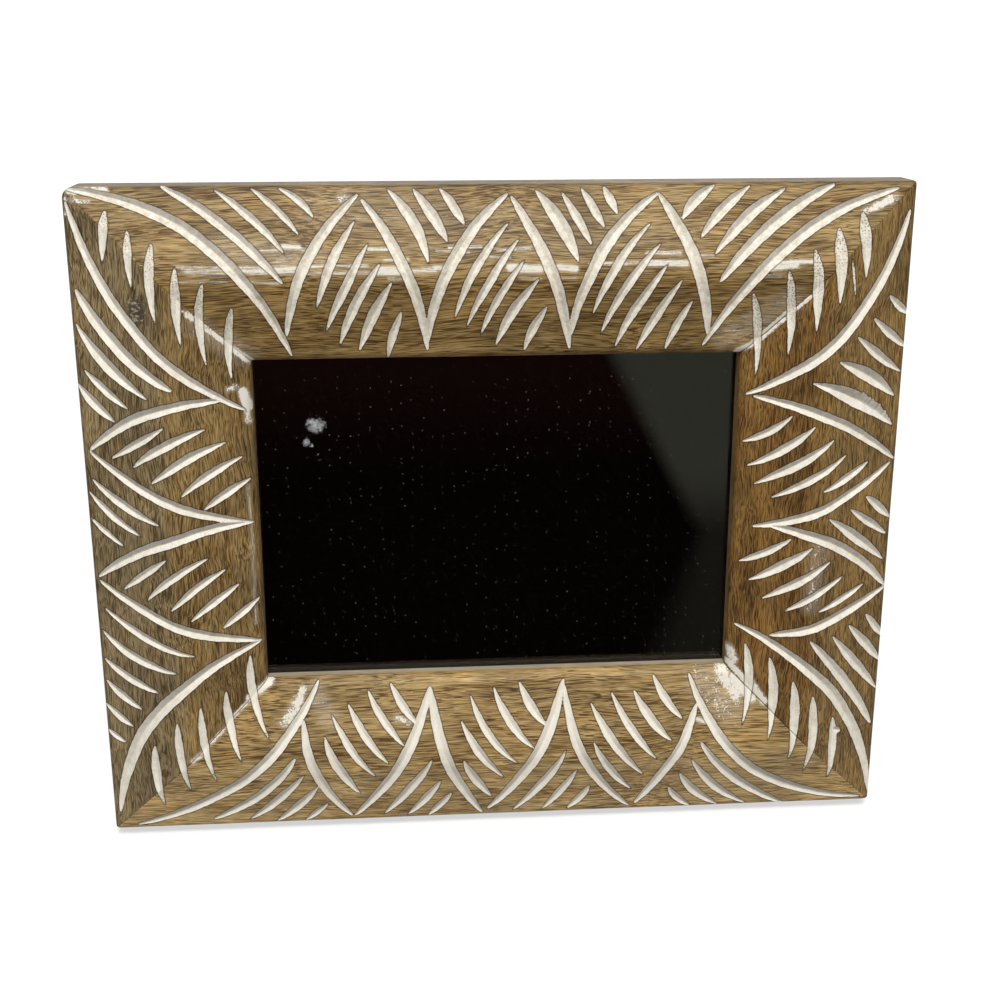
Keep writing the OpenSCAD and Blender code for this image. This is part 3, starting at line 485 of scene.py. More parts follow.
def gouge_field(x, y):
    """What the gouges do at points of the frame's plane, in mm: "edge" is the signed distance from the edge
    of the nearest cut, below zero inside it, "from_edge" and "from_floor" are the steps to the point from
    that edge and from the floor of the V, "half" is half the width there, "depth" is the depth of cut, "wall"
    is 1 on the upper wall of a level V, where the wash gets painted shade, and "pitted" is how pitted the
    wash is. A gouge follows a parabola over its chord. Its half width is that of the middle times a power of
    4t(1 - t)."""
    style = bpy.context.scene.carving_style
    blunt = style.floor_radius / MM
    first_mitre = len(GOUGES) - len(MITRE_GOUGES)
    field = {"edge": np.full(x.shape, 9.0), "depth": np.zeros(x.shape)}
    field.update({key: np.zeros(x.shape) for key in ("half", "wall", "pitted")})
    field.update({key: np.zeros(x.shape + (2,)) for key in ("from_edge", "from_floor")})
    for number, (x0, y0, x1, y1, bow, width) in enumerate(GOUGES):
        chord = np.array([x1 - x0, y1 - y0])
        length = np.hypot(*chord)
        t = np.linspace(0, 1, 41)
        line = np.array([x0, y0]) + t[:, None] * chord
        line = line + (4 * bow * t * (1 - t))[:, None] * np.array([-chord[1], chord[0]]) / length
        low, high = line.min(0) - 4, line.max(0) + 4
        near = (x > low[0]) & (x < high[0]) & (y > low[1]) & (y < high[1])
        if not near.any():
            continue
        best, away, rank, along = nearest_on_line(np.stack([x[near], y[near]], -1), line)
        step = np.diff(line, axis=0)
        leftwards = np.stack([-step[:, 1], step[:, 0]], -1) / np.hypot(step[:, 0], step[:, 1])[:, None]
        leftwards = leftwards[rank]
        side = np.where((away * leftwards).sum(-1) < 0, -1.0, 1.0)
        upwards = side * leftwards[:, 1]
        across_mitre = number >= first_mitre
        t = along ** (style.mitre_tail if across_mitre else 1.0)
        power = style.long_taper if length > LONG_CUT else style.short_taper
        power = style.mitre_taper if across_mitre else power
        half = width / 2 * (1.0 if across_mitre else style.spread) * np.clip(4 * t * (1 - t), 0, 1) ** power
        walk = along * length
        half = hand_cut(half, walk, number, side)
        if width > TORN_WIDTH:
            # The upper edge of the widest cut tore into teeth
            torn = smooth_step(0.35, 0.5, along) * smooth_step(1.0, 0.85, along) * (upwards > 0)
            half = half + torn * 0.7 * np.abs(np.sin(walk * 1.9) * np.sin(walk * 0.83 + 1)) ** 1.5
        # The floor of the V lies a little below the middle line, and its walls meet in a blunt bottom
        floor_place = -style.floor_shift * leftwards[:, 1] * half
        place = side * best
        left = (half - place) / np.maximum(half - floor_place, 0.02)
        right = (half + place) / np.maximum(half + floor_place, 0.02)
        rounding = (blunt / np.maximum(half, 0.1)) ** 2
        rise = (left + right - np.sqrt((left - right) ** 2 + rounding)) / 2
        cut = style.slope * half * rise * (1 + 0.06 * np.sin(walk / 2.3 + number))
        field["depth"][near] = np.maximum(field["depth"][near], np.where(half > 0.04, cut, 0))
        signed = best - half
        nearer = signed < field["edge"][near]
        spot = tuple(axis[nearer] for axis in np.nonzero(near))
        # Painted shade: the upper wall of the V is greyed, most on level cuts and little on steep ones, as
        # light from above would shade it
        wall = smooth_step(-0.06, 0.22, (place - floor_place) * leftwards[:, 1] / np.maximum(half, 0.1))
        pitted = np.clip(1 - 1.1 * along, 0, 1) * across_mitre * (0.75 if x0 < 0 else 1.0)
        found = {
            "edge": signed, "half": half,
            "from_edge": (signed * side)[:, None] * leftwards,
            "from_floor": (place - floor_place)[:, None] * leftwards,
            "wall": wall * smooth_step(0.3, 0.95, np.abs(leftwards[:, 1])),
            "pitted": pitted * (0.4 if y0 < 0 else 1.0),
        }
        for key, values in found.items():
            field[key][spot] = values[nearer]
    return field


def wash_field(marks, x, y):
    """Strength of the white wash left on the surface: soft bars, full along their middle line."""
    wash = np.zeros(x.shape)
    for x0, y0, x1, y1, width, strength in marks:
        dx, dy = x1 - x0, y1 - y0
        t = np.clip(((x - x0) * dx + (y - y0) * dy) / (dx * dx + dy * dy), 0, 1)
        d = np.hypot(x - x0 - t * dx, y - y0 - t * dy) / (width / 2)
        wash = np.maximum(wash, strength * (1 - smooth_step(0.3, 1.6, d)))
    return wash


# name: (outer length, along, inwards, corner, grain offset, faces turned round). The corner is the middle of
# the outer edge, in parts of the frame's width and height, and the offset, in mm, gives each its own grain.
RAILS = {
    "top": ("width", (1, 0), (0, -1), (0, 0.5), 0.0, True),
    "bottom": ("width", (1, 0), (0, 1), (0, -0.5), 170.0, False),
    "left": ("height", (0, 1), (1, 0), (-0.5, 0), 330.0, True),
    "right": ("height", (0, 1), (-1, 0), (0.5, 0), 520.0, False),
}
# Share of grey wash on the lip of each rail, and how thin the wash in its cuts is
LIP_WASH = {"top": 0.35, "bottom": 1.0, "left": 0.1, "right": 0.25}
THIN_WASH = {"top": 1.0, "bottom": 0.3, "left": 0.6, "right": 0.6}

# In mm: how far in the rows are straight, from the rounded corners of the outer edge, how far the visible
# back stands off the plane of the back, and the inner rows of the back
STRAIGHT_INSET = 6.0
BACK_GAP = 0.1
BACK_ROWS = (34.0, 17.0, 6.0)


def rail_edge(name, u, length):
    """Outer edge in plan at each u, which runs from -1 to 1 between the mitres, as place along the rail and
    inset: each half is a straight line that ends in an eighth of a circle."""
    s = bpy.context.scene.frame_sizes
    edge_a, edge_s = np.zeros(len(u)), np.zeros(len(u))
    for end in (-1, 1):
        at_upper_left = {"top": end < 0, "left": end > 0}.get(name, False)
        r = (s.corner_radius if at_upper_left else s.crisp_radius) / MM
        arc = np.linspace(pi / 4, pi / 2, 9)
        ends = np.stack([length / 2 - r + r * np.cos(arc), r - r * np.sin(arc)], -1)
        half_edge = np.concatenate([[[0, 0]], ends[::-1]])
        walk = np.concatenate([[0], np.cumsum(np.hypot(*np.diff(half_edge, axis=0).T))])
        here = u * end >= 0
        edge_a[here] = end * np.interp(np.abs(u[here]) * walk[-1], walk, half_edge[:, 0])
        edge_s[here] = np.interp(np.abs(u[here]) * walk[-1], walk, half_edge[:, 1])
    return edge_a, edge_s


def crease_triangles(quads, crease, sunk):
    """Cuts each square of the grid along the diagonal that joins two points of a crease, or else along the
    more level one."""
    marks, falls = crease[quads], sunk[quads]

    def cost(i, j):
        """Fall along a diagonal, and far less where it follows a crease."""
        on_crease = (marks[:, i] > 0) & (marks[:, i] == marks[:, j])
        return np.abs(falls[:, i] - falls[:, j]) - 9.0 * on_crease

    first = (cost(0, 2) <= cost(1, 3))[:, None]
    return np.concatenate([np.where(first, quads[:, [0, 1, 2]], quads[:, [0, 1, 3]]),
                           np.where(first, quads[:, [0, 2, 3]], quads[:, [1, 2, 3]])])


def mark_sharp_edges(mesh, columns, corners, crease):
    """Makes edges sharp along those rows of the section, round the mitres and along the creases."""
    pair = np.zeros(len(mesh.edges) * 2, np.int32)
    mesh.edges.foreach_get("vertices", pair)
    pair = pair.reshape(-1, 2)
    row, column = pair // columns, pair % columns
    sharp = (row[:, 0] == row[:, 1]) & np.isin(row[:, 0], corners)
    sharp |= (column[:, 0] == column[:, 1]) & np.isin(column[:, 0], [0, columns - 1])
    sharp |= (crease[pair[:, 0]] > 0) & (crease[pair[:, 0]] == crease[pair[:, 1]])
    mesh.attributes.new("sharp_edge", "BOOLEAN", "EDGE").data.foreach_set("value", sharp)


def knot_field(x, y, grain_s, along, inwards):
    """What the knots do: the inset of the grain, which swirls round each, the light that they leave, and
    how near the heart of a dark knot is. Each fades as a bell curve over its two radii."""
    shade, knot = np.ones(x.shape), np.zeros(x.shape)
    for kx, ky, ra, rs, dark, swirl in KNOTS:
        da = (x - kx) * along[0] + (y - ky) * along[1]
        ds = (x - kx) * inwards[0] + (y - ky) * inwards[1]
        fall = np.exp(-((da / (ra * 1.8)) ** 2) - (ds / (rs * 2.2)) ** 2)
        grain_s = grain_s - swirl * np.tanh(ds / rs) * fall
        core = np.exp(-((da / ra) ** 2) - (ds / rs) ** 2)
        shade = shade * (1 - min(dark, 0.4) * core)
        knot = np.maximum(knot, core * (dark > 0.5))
    return grain_s, shade, knot


def rail_tint(name, inset, height, shade):
    """Colour of the wood, which goes from the outer bevel's to the inner bevel's across the ridge. The outer
    side and its arris are darker, the top rail's most, and the side is darkest towards the back, where the
    darkening is painted shade."""
    tones = bpy.context.scene.wood_colours
    outer, inner = [np.array(getattr(tones, name + "_" + part)) for part in ("outer", "inner")]
    k = smooth_step(26, 32, inset)[..., None]
    arris = smooth_step(1.6, 0.2, inset)
    shade = shade * (1 - (0.54 if name == "top" else 0.42) * arris * (height > 0.5))
    # Painted shade: the outer side darkens towards the back edge
    shade = shade * (1 - 0.6 * smooth_step(5.0, 1.5, height) * (inset < 3))
    tint = (outer * (1 - k) + inner * k) * shade[..., None]
    tint = tint * (1 + arris[..., None] * np.array([0.02, -0.01, -0.1]))
    return np.concatenate([tint, np.ones(inset.shape + (1,))], -1)


def mitre_gape(x, y, inset):
    """How far the mitres gape: a little more at the sight corners, most at the lower right one and least
    at the upper left one."""
    gape = 0.4 + 0.5 * smooth_step(22, 32, inset)
    gape = np.where((x < 0) & (y > 0), 0.25, gape)
    return gape + 1.0 * ((x > 0) & (y < 0)) * smooth_step(24, 34, inset)


def carve_rail(name, material):
    """One rail as a closed grid: rows follow the section, columns run from mitre to mitre, and the front
    is the section's height less the depth of the gouges."""
    s = bpy.context.scene.frame_sizes
    kind, along, inwards, corner, offset, turned_round = RAILS[name]
    size = {"width": s.width / MM, "height": s.height / MM}
    length, sight, grid_step = size[kind], s.rail_width / MM, s.grid_step / MM
    front = rail_section()
    # The rows grow shorter inwards, and 0.78 of the length is that of a row near their middle
    columns = int((length * 0.78) / grid_step) + 1
    u = np.linspace(-1, 1, columns)
    edge_a, edge_s = rail_edge(name, u, length)

    def plan(inset):
        """Place along the rail and true inset of the rows at these nominal insets."""
        inset = np.asarray(inset, float)[:, None]
        k = np.clip(inset / STRAIGHT_INSET, 0, 1)
        deep = np.maximum(inset, STRAIGHT_INSET)
        a = (1 - k) * edge_a + k * u * (length / 2 - deep)
        return a, (1 - k) * edge_s + k * deep

    def in_plane(a, inset):
        """x and y from the middle of the frame."""
        x = corner[0] * size["width"] + along[0] * a + inwards[0] * inset
        y = corner[1] * size["height"] + along[1] * a + inwards[1] * inset
        return x, y

    a, inset = plan(front[:, 0])
    x, y = in_plane(a, inset)
    # Points close to a gouge's middle line or edge move onto it, so that the grid creases there
    field = gouge_field(x, y)
    pitch = 2 * np.abs(a).max(1, keepdims=True) / columns
    limit = 0.46 * np.minimum(pitch, grid_step)
    free = np.ones(x.shape, bool)
    free[:3], free[-3:], free[:, :2], free[:, -2:] = False, False, False, False
    on_floor = free & (np.hypot(*np.moveaxis(field["from_floor"], -1, 0)) < limit) & (field["edge"] < -0.35)
    on_rim = free & ~on_floor & (np.abs(field["edge"]) < limit) & (field["half"] > 0.15)
    pull = field["from_floor"] * on_floor[..., None] + field["from_edge"] * on_rim[..., None]
    x, y = x - pull[..., 0], y - pull[..., 1]
    from_x, from_y = x - corner[0] * size["width"], y - corner[1] * size["height"]
    a = from_x * along[0] + from_y * along[1]
    moved = from_x * inwards[0] + from_y * inwards[1]
    fall = np.gradient(front[:, 1], front[:, 0])[:, None]
    level = front[:, 1:2] + np.where(free, fall * (moved - inset), 0)
    inset = moved
    field = gouge_field(x, y)
    depth = field["depth"]
    # The mitre is a shallow groove, except where a gouge has cut it away
    dip_depth, dip_width = 0.12, 0.3
    joint = (length / 2 - inset - np.abs(a)) / np.sqrt(2)
    dip = dip_depth * np.exp(-((joint / dip_width) ** 2)) * (1 - smooth_step(0, 0.3, depth))
    on_front = smooth_step(sight + 0.01, sight - 1.2, inset)
    height = level - depth * on_front - dip
    # The hand-planed front is uneven by up to 0.1 mm
    height = height - 0.05 * (1 + np.sin(x / 9.1 + offset) * np.sin(y / 7.3 + 1.3))

    # Sides: the rounded rear arris, then rows at parts of the height of the front's first and last rows
    back, bend, rebate = BACK_GAP, s.back_radius / MM, s.rebate_depth / MM
    turn = np.linspace(0, pi / 2, 5)[:-1]
    low_side = np.linspace(0, 1, 12)[:-1]
    side_a, side_s = plan(np.concatenate([bend * (1 - np.sin(turn)), np.zeros(len(low_side))]))
    arris_h = back + bend * (1 - np.cos(turn))[:, None] + np.zeros(columns)
    side_h = np.concatenate([arris_h, back + bend + low_side[:, None] * (height[0] - back - bend)])
    lip_part = np.linspace(1, 0, 8)[1:]
    lip_a, lip_s = plan(np.full(len(lip_part), sight))
    lip_h = rebate + lip_part[:, None] * (height[-1] - rebate)
    rebate_a, rebate_s = plan([sight - s.lip_width / MM] * 2)
    rebate_h = np.array([[rebate], [back]]) + np.zeros(columns)
    back_a, back_s = plan(BACK_ROWS)
    back_h = np.full(back_a.shape, back)

    all_a = np.concatenate([side_a, a, lip_a, rebate_a, back_a])
    all_s = np.concatenate([side_s, inset, lip_s, rebate_s, back_s])
    all_h = np.concatenate([side_h, height, lip_h, rebate_h, back_h])
    all_x, all_y = in_plane(all_a, all_s)
    rows = len(all_a)
    points = np.stack([all_x, -all_h, all_y + size["height"] / 2], -1).reshape(-1, 3)
    first_face, first_lip = len(side_a), len(side_a) + len(a)
    last_lip = first_lip + len(lip_a) - 1

    def on_face(values, elsewhere=0.0):
        """Values of the front's rows, carried over to all rows."""
        full = np.full(all_a.shape, elsewhere)
        full[first_face:first_lip] = values
        return full

    crease = on_face(on_floor * 2 + on_rim).ravel()
    triangles = crease_triangles(grid_quads(rows, columns, wrap_rows=True), crease, on_face(depth).ravel())
    start = np.arange(rows) * columns
    caps = np.stack([start, (start + columns - 1)[::-1]])
    if turned_round:
        triangles, caps = triangles[:, ::-1], caps[:, ::-1]
    obj = mesh_object("carved_" + name + "_rail", leaned(points), [triangles, caps])
    mesh = obj.data
    mark_sharp_edges(mesh, columns, [last_lip, last_lip + 1, last_lip + 2], crease)

    # What the wood and the wash need to know at each point, the painted shade of the upper walls among them.
    # The dark rim, partly painted shade along the edge of a cut and partly stain, fades where a cut runs out,
    # and it goes a little way down the outer side.
    edge = field["edge"] + 0.35 * smooth_step(0.24, 0.0, field["half"])
    cut = on_face(edge, 9.0)
    cut[:first_face] = edge[0] + (height[0] - side_h) * 0.9
    lip = np.zeros(all_a.shape)
    lip[first_lip:last_lip + 1] = 1
    grain_s, shade, knot = knot_field(all_x, all_y, all_s, along, inwards)
    set_attribute(mesh, "place", "FLOAT_VECTOR", np.stack([all_a + offset, grain_s, all_h], -1))
    for key, values in {
        "cut": cut,
        "wash": on_face(wash_field(WASH_LINES, x, y)),
        "blot": on_face(wash_field(WASH_BLOTS, x, y)),
        "pitted": on_face(field["pitted"]),
        "wall": on_face(field["wall"] * (field["edge"] < 0.3)),
        "lip": lip * smooth_step(13.2, 12.2, all_h) * LIP_WASH[name],
        "gape": mitre_gape(all_x, all_y, all_s),
        "joint": (length / 2 - all_s - np.abs(all_a)) / np.sqrt(2),
        "knot": knot,
        "curl": np.full(all_a.shape, 1.0 if kind == "height" else 0.0),
        "thinness": np.full(all_a.shape, THIN_WASH[name]),
    }.items():
        set_attribute(mesh, key, "FLOAT", values)
    set_attribute(mesh, "tint", "FLOAT_COLOR", rail_tint(name, all_s, all_h, shade))
    return finish_piece(obj, material, "frame", [name + "_rail"])


def new_material(name):
    """A material of that name with its Principled shader."""
    made = bpy.data.materials.new(name)
    made.use_nodes = True
    return made, made.node_tree, made.node_tree.nodes["Principled BSDF"]


def add(tree, kind, inputs=None, **settings):
    """Adds a node: settings are its own properties, inputs are values or sockets for its inputs."""
    made = tree.nodes.new(kind)
    for key, value in settings.items():
        setattr(made, key, value)
    for key, value in (inputs or {}).items():
        if isinstance(value, bpy.types.NodeSocket):
            tree.links.new(value, made.inputs[key])
        else:
            made.inputs[key].default_value = value
    return made


def maths(tree, operation, *values, clamp=False):
    """Works out one step with numbers or sockets."""
    step = add(tree, "ShaderNodeMath", dict(enumerate(values)), operation=operation, use_clamp=clamp)
    return step.outputs[0]


def vector_maths(tree, operation, *values):
    """The same with vectors."""
    return add(tree, "ShaderNodeVectorMath", dict(enumerate(values)), operation=operation).outputs[0]


def scaled(tree, vector, factor):
    """A vector or colour times a number."""
    return add(tree, "ShaderNodeVectorMath", {0: vector, "Scale": factor}, operation="SCALE").outputs[0]


def ramp(tree, value, low, high, at_low=0.0, at_high=1.0, curve="LINEAR"):
    """Carries a value between low and high over to at_low and at_high, and holds it there beyond them."""
    ends = {"Value": value, "From Min": low, "From Max": high, "To Min": at_low, "To Max": at_high}
    return add(tree, "ShaderNodeMapRange", ends, interpolation_type=curve).outputs[0]


def mix(tree, share, first, second, blend="MIX"):
    """The second colour over the first, by that share."""
    return add(tree, "ShaderNodeMix", {0: share, 6: first, 7: second}, data_type="RGBA",
               blend_type=blend).outputs[2]


def noise(tree, place, size, detail=2.0, roughness=0.5, **settings):
    """Noise with features of that size in the units of its place."""
    inputs = {"Vector": place, "Scale": 1 / size, "Detail": detail, "Roughness": roughness, **settings}
    return add(tree, "ShaderNodeTexNoise", inputs).outputs


def attribute(tree, name, output="Fac"):
    """What the mesh holds at each point under that name."""
    return add(tree, "ShaderNodeAttribute", attribute_name=name).outputs[output]


def stretched(tree, place, lengths):
    """A place in which that many units along each axis count as one."""
    return add(tree, "ShaderNodeMapping", {"Vector": place, "Scale": [1 / v for v in lengths]}).outputs[0]


def bump(tree, shader, height, strength, distance):
    """Relief of the finish, as a bump of its normals."""
    made = add(tree, "ShaderNodeBump", {"Strength": strength, "Distance": distance, "Height": height})
    tree.links.new(made.outputs[0], shader.inputs["Normal"])


def object_place(tree):
    """Place on the object in its own axes, in metres."""
    return add(tree, "ShaderNodeTexCoord").outputs["Object"]


def rgba(colour):
    """A colour with its alpha."""
    return (*colour, 1)


def wood_grain(tree, place, curl):
    """Place in the grain, which wanders a little across the rail, over some 60 mm, and curls over some
    14 mm on the side rails, whose fibre is also cut shorter."""
    middle = (0.5, 0.5, 0.5)
    wave = vector_maths(tree, "SUBTRACT", noise(tree, place, 60, 1.0)["Color"], middle)
    wave = vector_maths(tree, "MULTIPLY", wave, (0, 9, 9))
    ripple = vector_maths(tree, "SUBTRACT", noise(tree, place, 14)["Color"], middle)
    ripple = scaled(tree, vector_maths(tree, "MULTIPLY", ripple, (0, 3, 3)), curl)
    wave = vector_maths(tree, "ADD", wave, ripple)
    shorter = maths(tree, "MULTIPLY_ADD", curl, 0.4, 1.0)
    shorter = add(tree, "ShaderNodeCombineXYZ", {0: shorter, 1: 1.0, 2: 1.0}).outputs[0]
    return vector_maths(tree, "MULTIPLY_ADD", place, shorter, wave)


def bare_wood(tree, place, tint, curl):
    """Colour of the wood without wash or knots, with its pores and fibre. Streaks are 1 mm wide, growth
    bands 6 mm. The real fibre and pores are finer than here, and this is as fine as the picture shows."""
    grain = wood_grain(tree, place, curl)

    def along_grain(length, width, detail, roughness=0.6):
        return noise(tree, stretched(tree, grain, (length, width, width)), 1.0, detail, roughness)[0]

    fibre = along_grain(6.0, 0.34, 1.0, 0.5)
    streaks = along_grain(26.0, 1.0, 3.0)
    bands = along_grain(80.0, 6.0, 3.0)
    pores = along_grain(9.5, 0.33, 0.0, 0.5)
    warm = along_grain(34.0, 4.0, 2.0)
    tone = maths(tree, "MULTIPLY_ADD", streaks, 0.6, fibre)
    tone = maths(tree, "MULTIPLY_ADD", bands, 0.4, tone)
    ground = mix(tree, ramp(tree, tone, 0.72, 1.28), (0.46, 0.385, 0.26, 1), (1.69, 1.71, 1.76, 1))
    ground = mix(tree, ramp(tree, warm, 0.45, 0.7), ground, (1.07, 0.98, 0.84, 1), "MULTIPLY")
    ground = mix(tree, 1.0, ground, tint, "MULTIPLY")
    ground = scaled(tree, ground, ramp(tree, noise(tree, place, 22, 3.0)[0], 0.3, 0.7, 0.74, 1.24))
    pore = ramp(tree, maths(tree, "MULTIPLY_ADD", bands, -0.4, pores), 0.364, 0.412, 0.0, 0.95)
    pore = maths(tree, "MULTIPLY", pore, maths(tree, "MULTIPLY_ADD", curl, -0.1, 1.0))
    return mix(tree, pore, ground, (0.3, 0.22, 0.1, 1), "MULTIPLY"), pore, fibre


def mango_wood():
    # Mango wood, planed, stained and waxed: fine brown fibre with short dark pores that run along the
    # grain and a low sheen. White wash was brushed into the gouges and rubbed off the surface.
    made, tree, shader = new_material("waxed_mango_wood")
    style = bpy.context.scene.carving_style
    tones = bpy.context.scene.wood_colours
    place = attribute(tree, "place", "Vector")
    tint = attribute(tree, "tint", "Color")
    cut, wash, blot, gape, lip, joint, pitted, wall, knot, curl, thinness = [
        attribute(tree, name) for name in ("cut", "wash", "blot", "gape", "lip", "joint", "pitted", "wall",
                                           "knot", "curl", "thinness")]
    wood, pore, fibre = bare_wood(tree, place, tint, curl)

    # Wash caught on the surface: thin lines along the grain where it is weak, and nearly full where strong
    streak = noise(tree, stretched(tree, place, (14, 0.4, 0.4)), 1.0, 3.0, 0.7)[0]
    speck = noise(tree, place, 1.1, 3.0, 0.7)[0]
    broken = maths(tree, "MULTIPLY_ADD", streak, 2.4, wash)
    broken = maths(tree, "MULTIPLY_ADD", speck, 0.8, broken)
    smear = ramp(tree, broken, 1.98, 2.42, 0.0, 0.9)
    smear = maths(tree, "MULTIPLY", smear, ramp(tree, wash, 0.0, 0.1))
    smear = maths(tree, "MAXIMUM", smear, maths(tree, "MULTIPLY", wash, 0.42))
    # Spattered blots, each with a thin haze round it
    spray = maths(tree, "MULTIPLY_ADD", noise(tree, place, 2.2, 2.0, 0.6)[0], 1.3, blot)
    spray = maths(tree, "MULTIPLY_ADD", noise(tree, place, 0.55, 2.0, 0.6)[0], 1.3, spray)
    spray = maths(tree, "MULTIPLY", ramp(tree, spray, 1.72, 1.96, 0.0, 0.92), ramp(tree, blot, 0.0, 0.1))
    smear = maths(tree, "MAXIMUM", smear, spray)
    smear = maths(tree, "MAXIMUM", smear, maths(tree, "MULTIPLY", blot, 0.42))
    wood = mix(tree, smear, wood, rgba(style.wash))

    # Dark knot with flecks of wash in its pits
    heart = ramp(tree, maths(tree, "MULTIPLY_ADD", speck, 0.9, knot), 0.75, 1.1, 0.0, 0.85)
    wood = mix(tree, heart, wood, rgba(tones.knot))
    fleck = maths(tree, "MULTIPLY_ADD", knot, 0.12, noise(tree, place, 0.9, 3.0, 0.7)[0])
    fleck = maths(tree, "MULTIPLY", ramp(tree, fleck, 0.62, 0.7, 0.0, 0.6), ramp(tree, knot, 0.15, 0.4))
    wood = mix(tree, fleck, wood, rgba(style.wash_thin))

    # A thin dark rim round each gouge, partly painted shade along the edge of the cut and partly stain
    # gathered on the raised edge, and the open mitres
    wood = mix(tree, ramp(tree, cut, 0.1, 0.55, 0.85, 0.0), wood, rgba(tones.pores))
    seam = ramp(tree, joint, 0.05, 0.2, 1.0, 0.0)
    wood = mix(tree, maths(tree, "MULTIPLY", seam, gape, clamp=True), wood, rgba(tones.pores))

    # Wash in the gouges: its edge is ragged by 0.07 mm, and it is thin and pitted in places
    edge = maths(tree, "ADD", cut, ramp(tree, speck, 0.3, 0.7, -0.07, 0.07))
    filled = ramp(tree, edge, -0.04, 0.08, 1.0, 0.0)
    blotch = noise(tree, place, 2.4, 5.0, 0.75)[0]
    thin = maths(tree, "MULTIPLY", ramp(tree, blotch, 0.42, 0.72, 0.0, 0.95), thinness)
    white = mix(tree, thin, rgba(style.wash), rgba(style.wash_thin))
    # Painted shade, mixed with a thinner wash, on the upper wall of level cuts
    painted_wall_shade = maths(tree, "MULTIPLY", wall, maths(tree, "MULTIPLY_ADD", blotch, 0.7, 0.25))
    white = mix(tree, painted_wall_shade, white, rgba(style.wash_and_painted_shade))
    # Pits some 1.1 mm apart, where the chisel crossed the open grain of the mitres
    cell = add(tree, "ShaderNodeTexVoronoi", {"Vector": place, "Scale": 1 / 1.1, "Randomness": 0.7},
               voronoi_dimensions="2D").outputs["Distance"]
    pit = maths(tree, "SUBTRACT", maths(tree, "MULTIPLY_ADD", pitted, 0.3, -0.02), cell)
    white = mix(tree, ramp(tree, pit, -0.04, 0.04, 0.0, 0.75), white, rgba(hex_colour("#5A4A38")))
    over = maths(tree, "SUBTRACT", gape, 1.0, clamp=True)
    white = mix(tree, maths(tree, "MULTIPLY", seam, over, clamp=True), white, rgba(tones.pores))
    colour = mix(tree, filled, wood, white)
    grey = maths(tree, "MULTIPLY", ramp(tree, streak, 0.3, 0.7, 0.5, 0.95), lip)
    tree.links.new(mix(tree, grey, colour, rgba(style.lip_wash)), shader.inputs["Base Color"])

    tree.links.new(ramp(tree, filled, 0.0, 1.0, 0.5, 0.78), shader.inputs["Roughness"])
    shader.inputs["Specular IOR Level"].default_value = 0.25
    relief = maths(tree, "ADD", maths(tree, "MULTIPLY", pore, -0.6), fibre)
    bump(tree, shader, maths(tree, "ADD", relief, speck), 0.5, 0.00018)
    return made


def float_glass():
    # Float glass: clear and flat, with a mirror surface on which dust and a smear of wash have dried.
    made, tree, shader = new_material("float_glass")
    shader.inputs["Base Color"].default_value = rgba(hex_colour("#F2F6F4"))
    shader.inputs["Transmission Weight"].default_value = 1.0
    shader.inputs["Roughness"].default_value = 0.0
    shader.inputs["IOR"].default_value = 1.5
    place = object_place(tree)
    smear = attribute(tree, "smear")
    grit = noise(tree, place, 1.0 * MM, 4.0, 0.7)[0]
    dried = ramp(tree, maths(tree, "MULTIPLY_ADD", grit, 1.7, smear), 1.3, 2.0, 0.0, 0.75)
    dried = maths(tree, "MULTIPLY", dried, ramp(tree, smear, 0.0, 0.1))
    # Dust: one faint grain in every second cell of some 3.6 mm
    level = add(tree, "ShaderNodeSeparateXYZ", {0: place}).outputs
    level = add(tree, "ShaderNodeCombineXYZ", {0: level["X"], 1: level["Z"]}).outputs[0]
    cell = add(tree, "ShaderNodeTexVoronoi", {"Vector": level, "Scale": 1 / (3.6 * MM), "Randomness": 1.0},
               voronoi_dimensions="2D").outputs
    pick = add(tree, "ShaderNodeSeparateColor", {0: cell["Color"]}).outputs[0]
    dust = maths(tree, "MULTIPLY", ramp(tree, cell["Distance"], 0.03, 0.08, 1.0, 0.0),
                 ramp(tree, pick, 0.5, 1.0, 0.0, 0.2))
    dust = maths(tree, "MULTIPLY", dust, attribute(tree, "dusty"))
    cover = maths(tree, "MAXIMUM", dried, dust)
    film = add(tree, "ShaderNodeBsdfDiffuse", {"Color": rgba(hex_colour("#C9C9CC"))}).outputs[0]
    both = add(tree, "ShaderNodeMixShader", {0: cover, 1: shader.outputs[0], 2: film}).outputs[0]
    tree.links.new(both, tree.nodes["Material Output"].inputs["Surface"])
    return made


def black_card():
    # Black paper card: matt and nearly black, with a faint felt of fibres.
    made, tree, shader = new_material("black_paper_card")
    felt = noise(tree, object_place(tree), 0.8 * MM, 3.0)[0]
    shade = mix(tree, felt, rgba(hex_colour("#070303")), rgba(bpy.context.scene.fitting_colours.card))
    tree.links.new(shade, shader.inputs["Base Color"])
    shader.inputs["Roughness"].default_value = 0.9
    shader.inputs["Specular IOR Level"].default_value = 0.0
    return made


def fibre_board(name, base, light, scale_mm, roughness, amount):
    # Pressed wood fibre: short pale fibres lie all ways in a darker ground, sealed by stain or paint.
    made, tree, shader = new_material(name)
    place = object_place(tree)
    fibres = noise(tree, place, scale_mm * MM, 5.0, 0.7, Distortion=1.2)[0]
    cloud = noise(tree, place, 18 * MM, 3.0)[0]
    pale = ramp(tree, maths(tree, "ADD", fibres, cloud), 0.8, 1.3, 0.0, amount)
    tree.links.new(mix(tree, pale, rgba(base), rgba(light)), shader.inputs["Base Color"])
    shine = ramp(tree, fibres, 0.3, 0.7, roughness - 0.08, roughness + 0.08)
    tree.links.new(shine, shader.inputs["Roughness"])
    bump(tree, shader, fibres, 0.35, 0.00012)
    return made


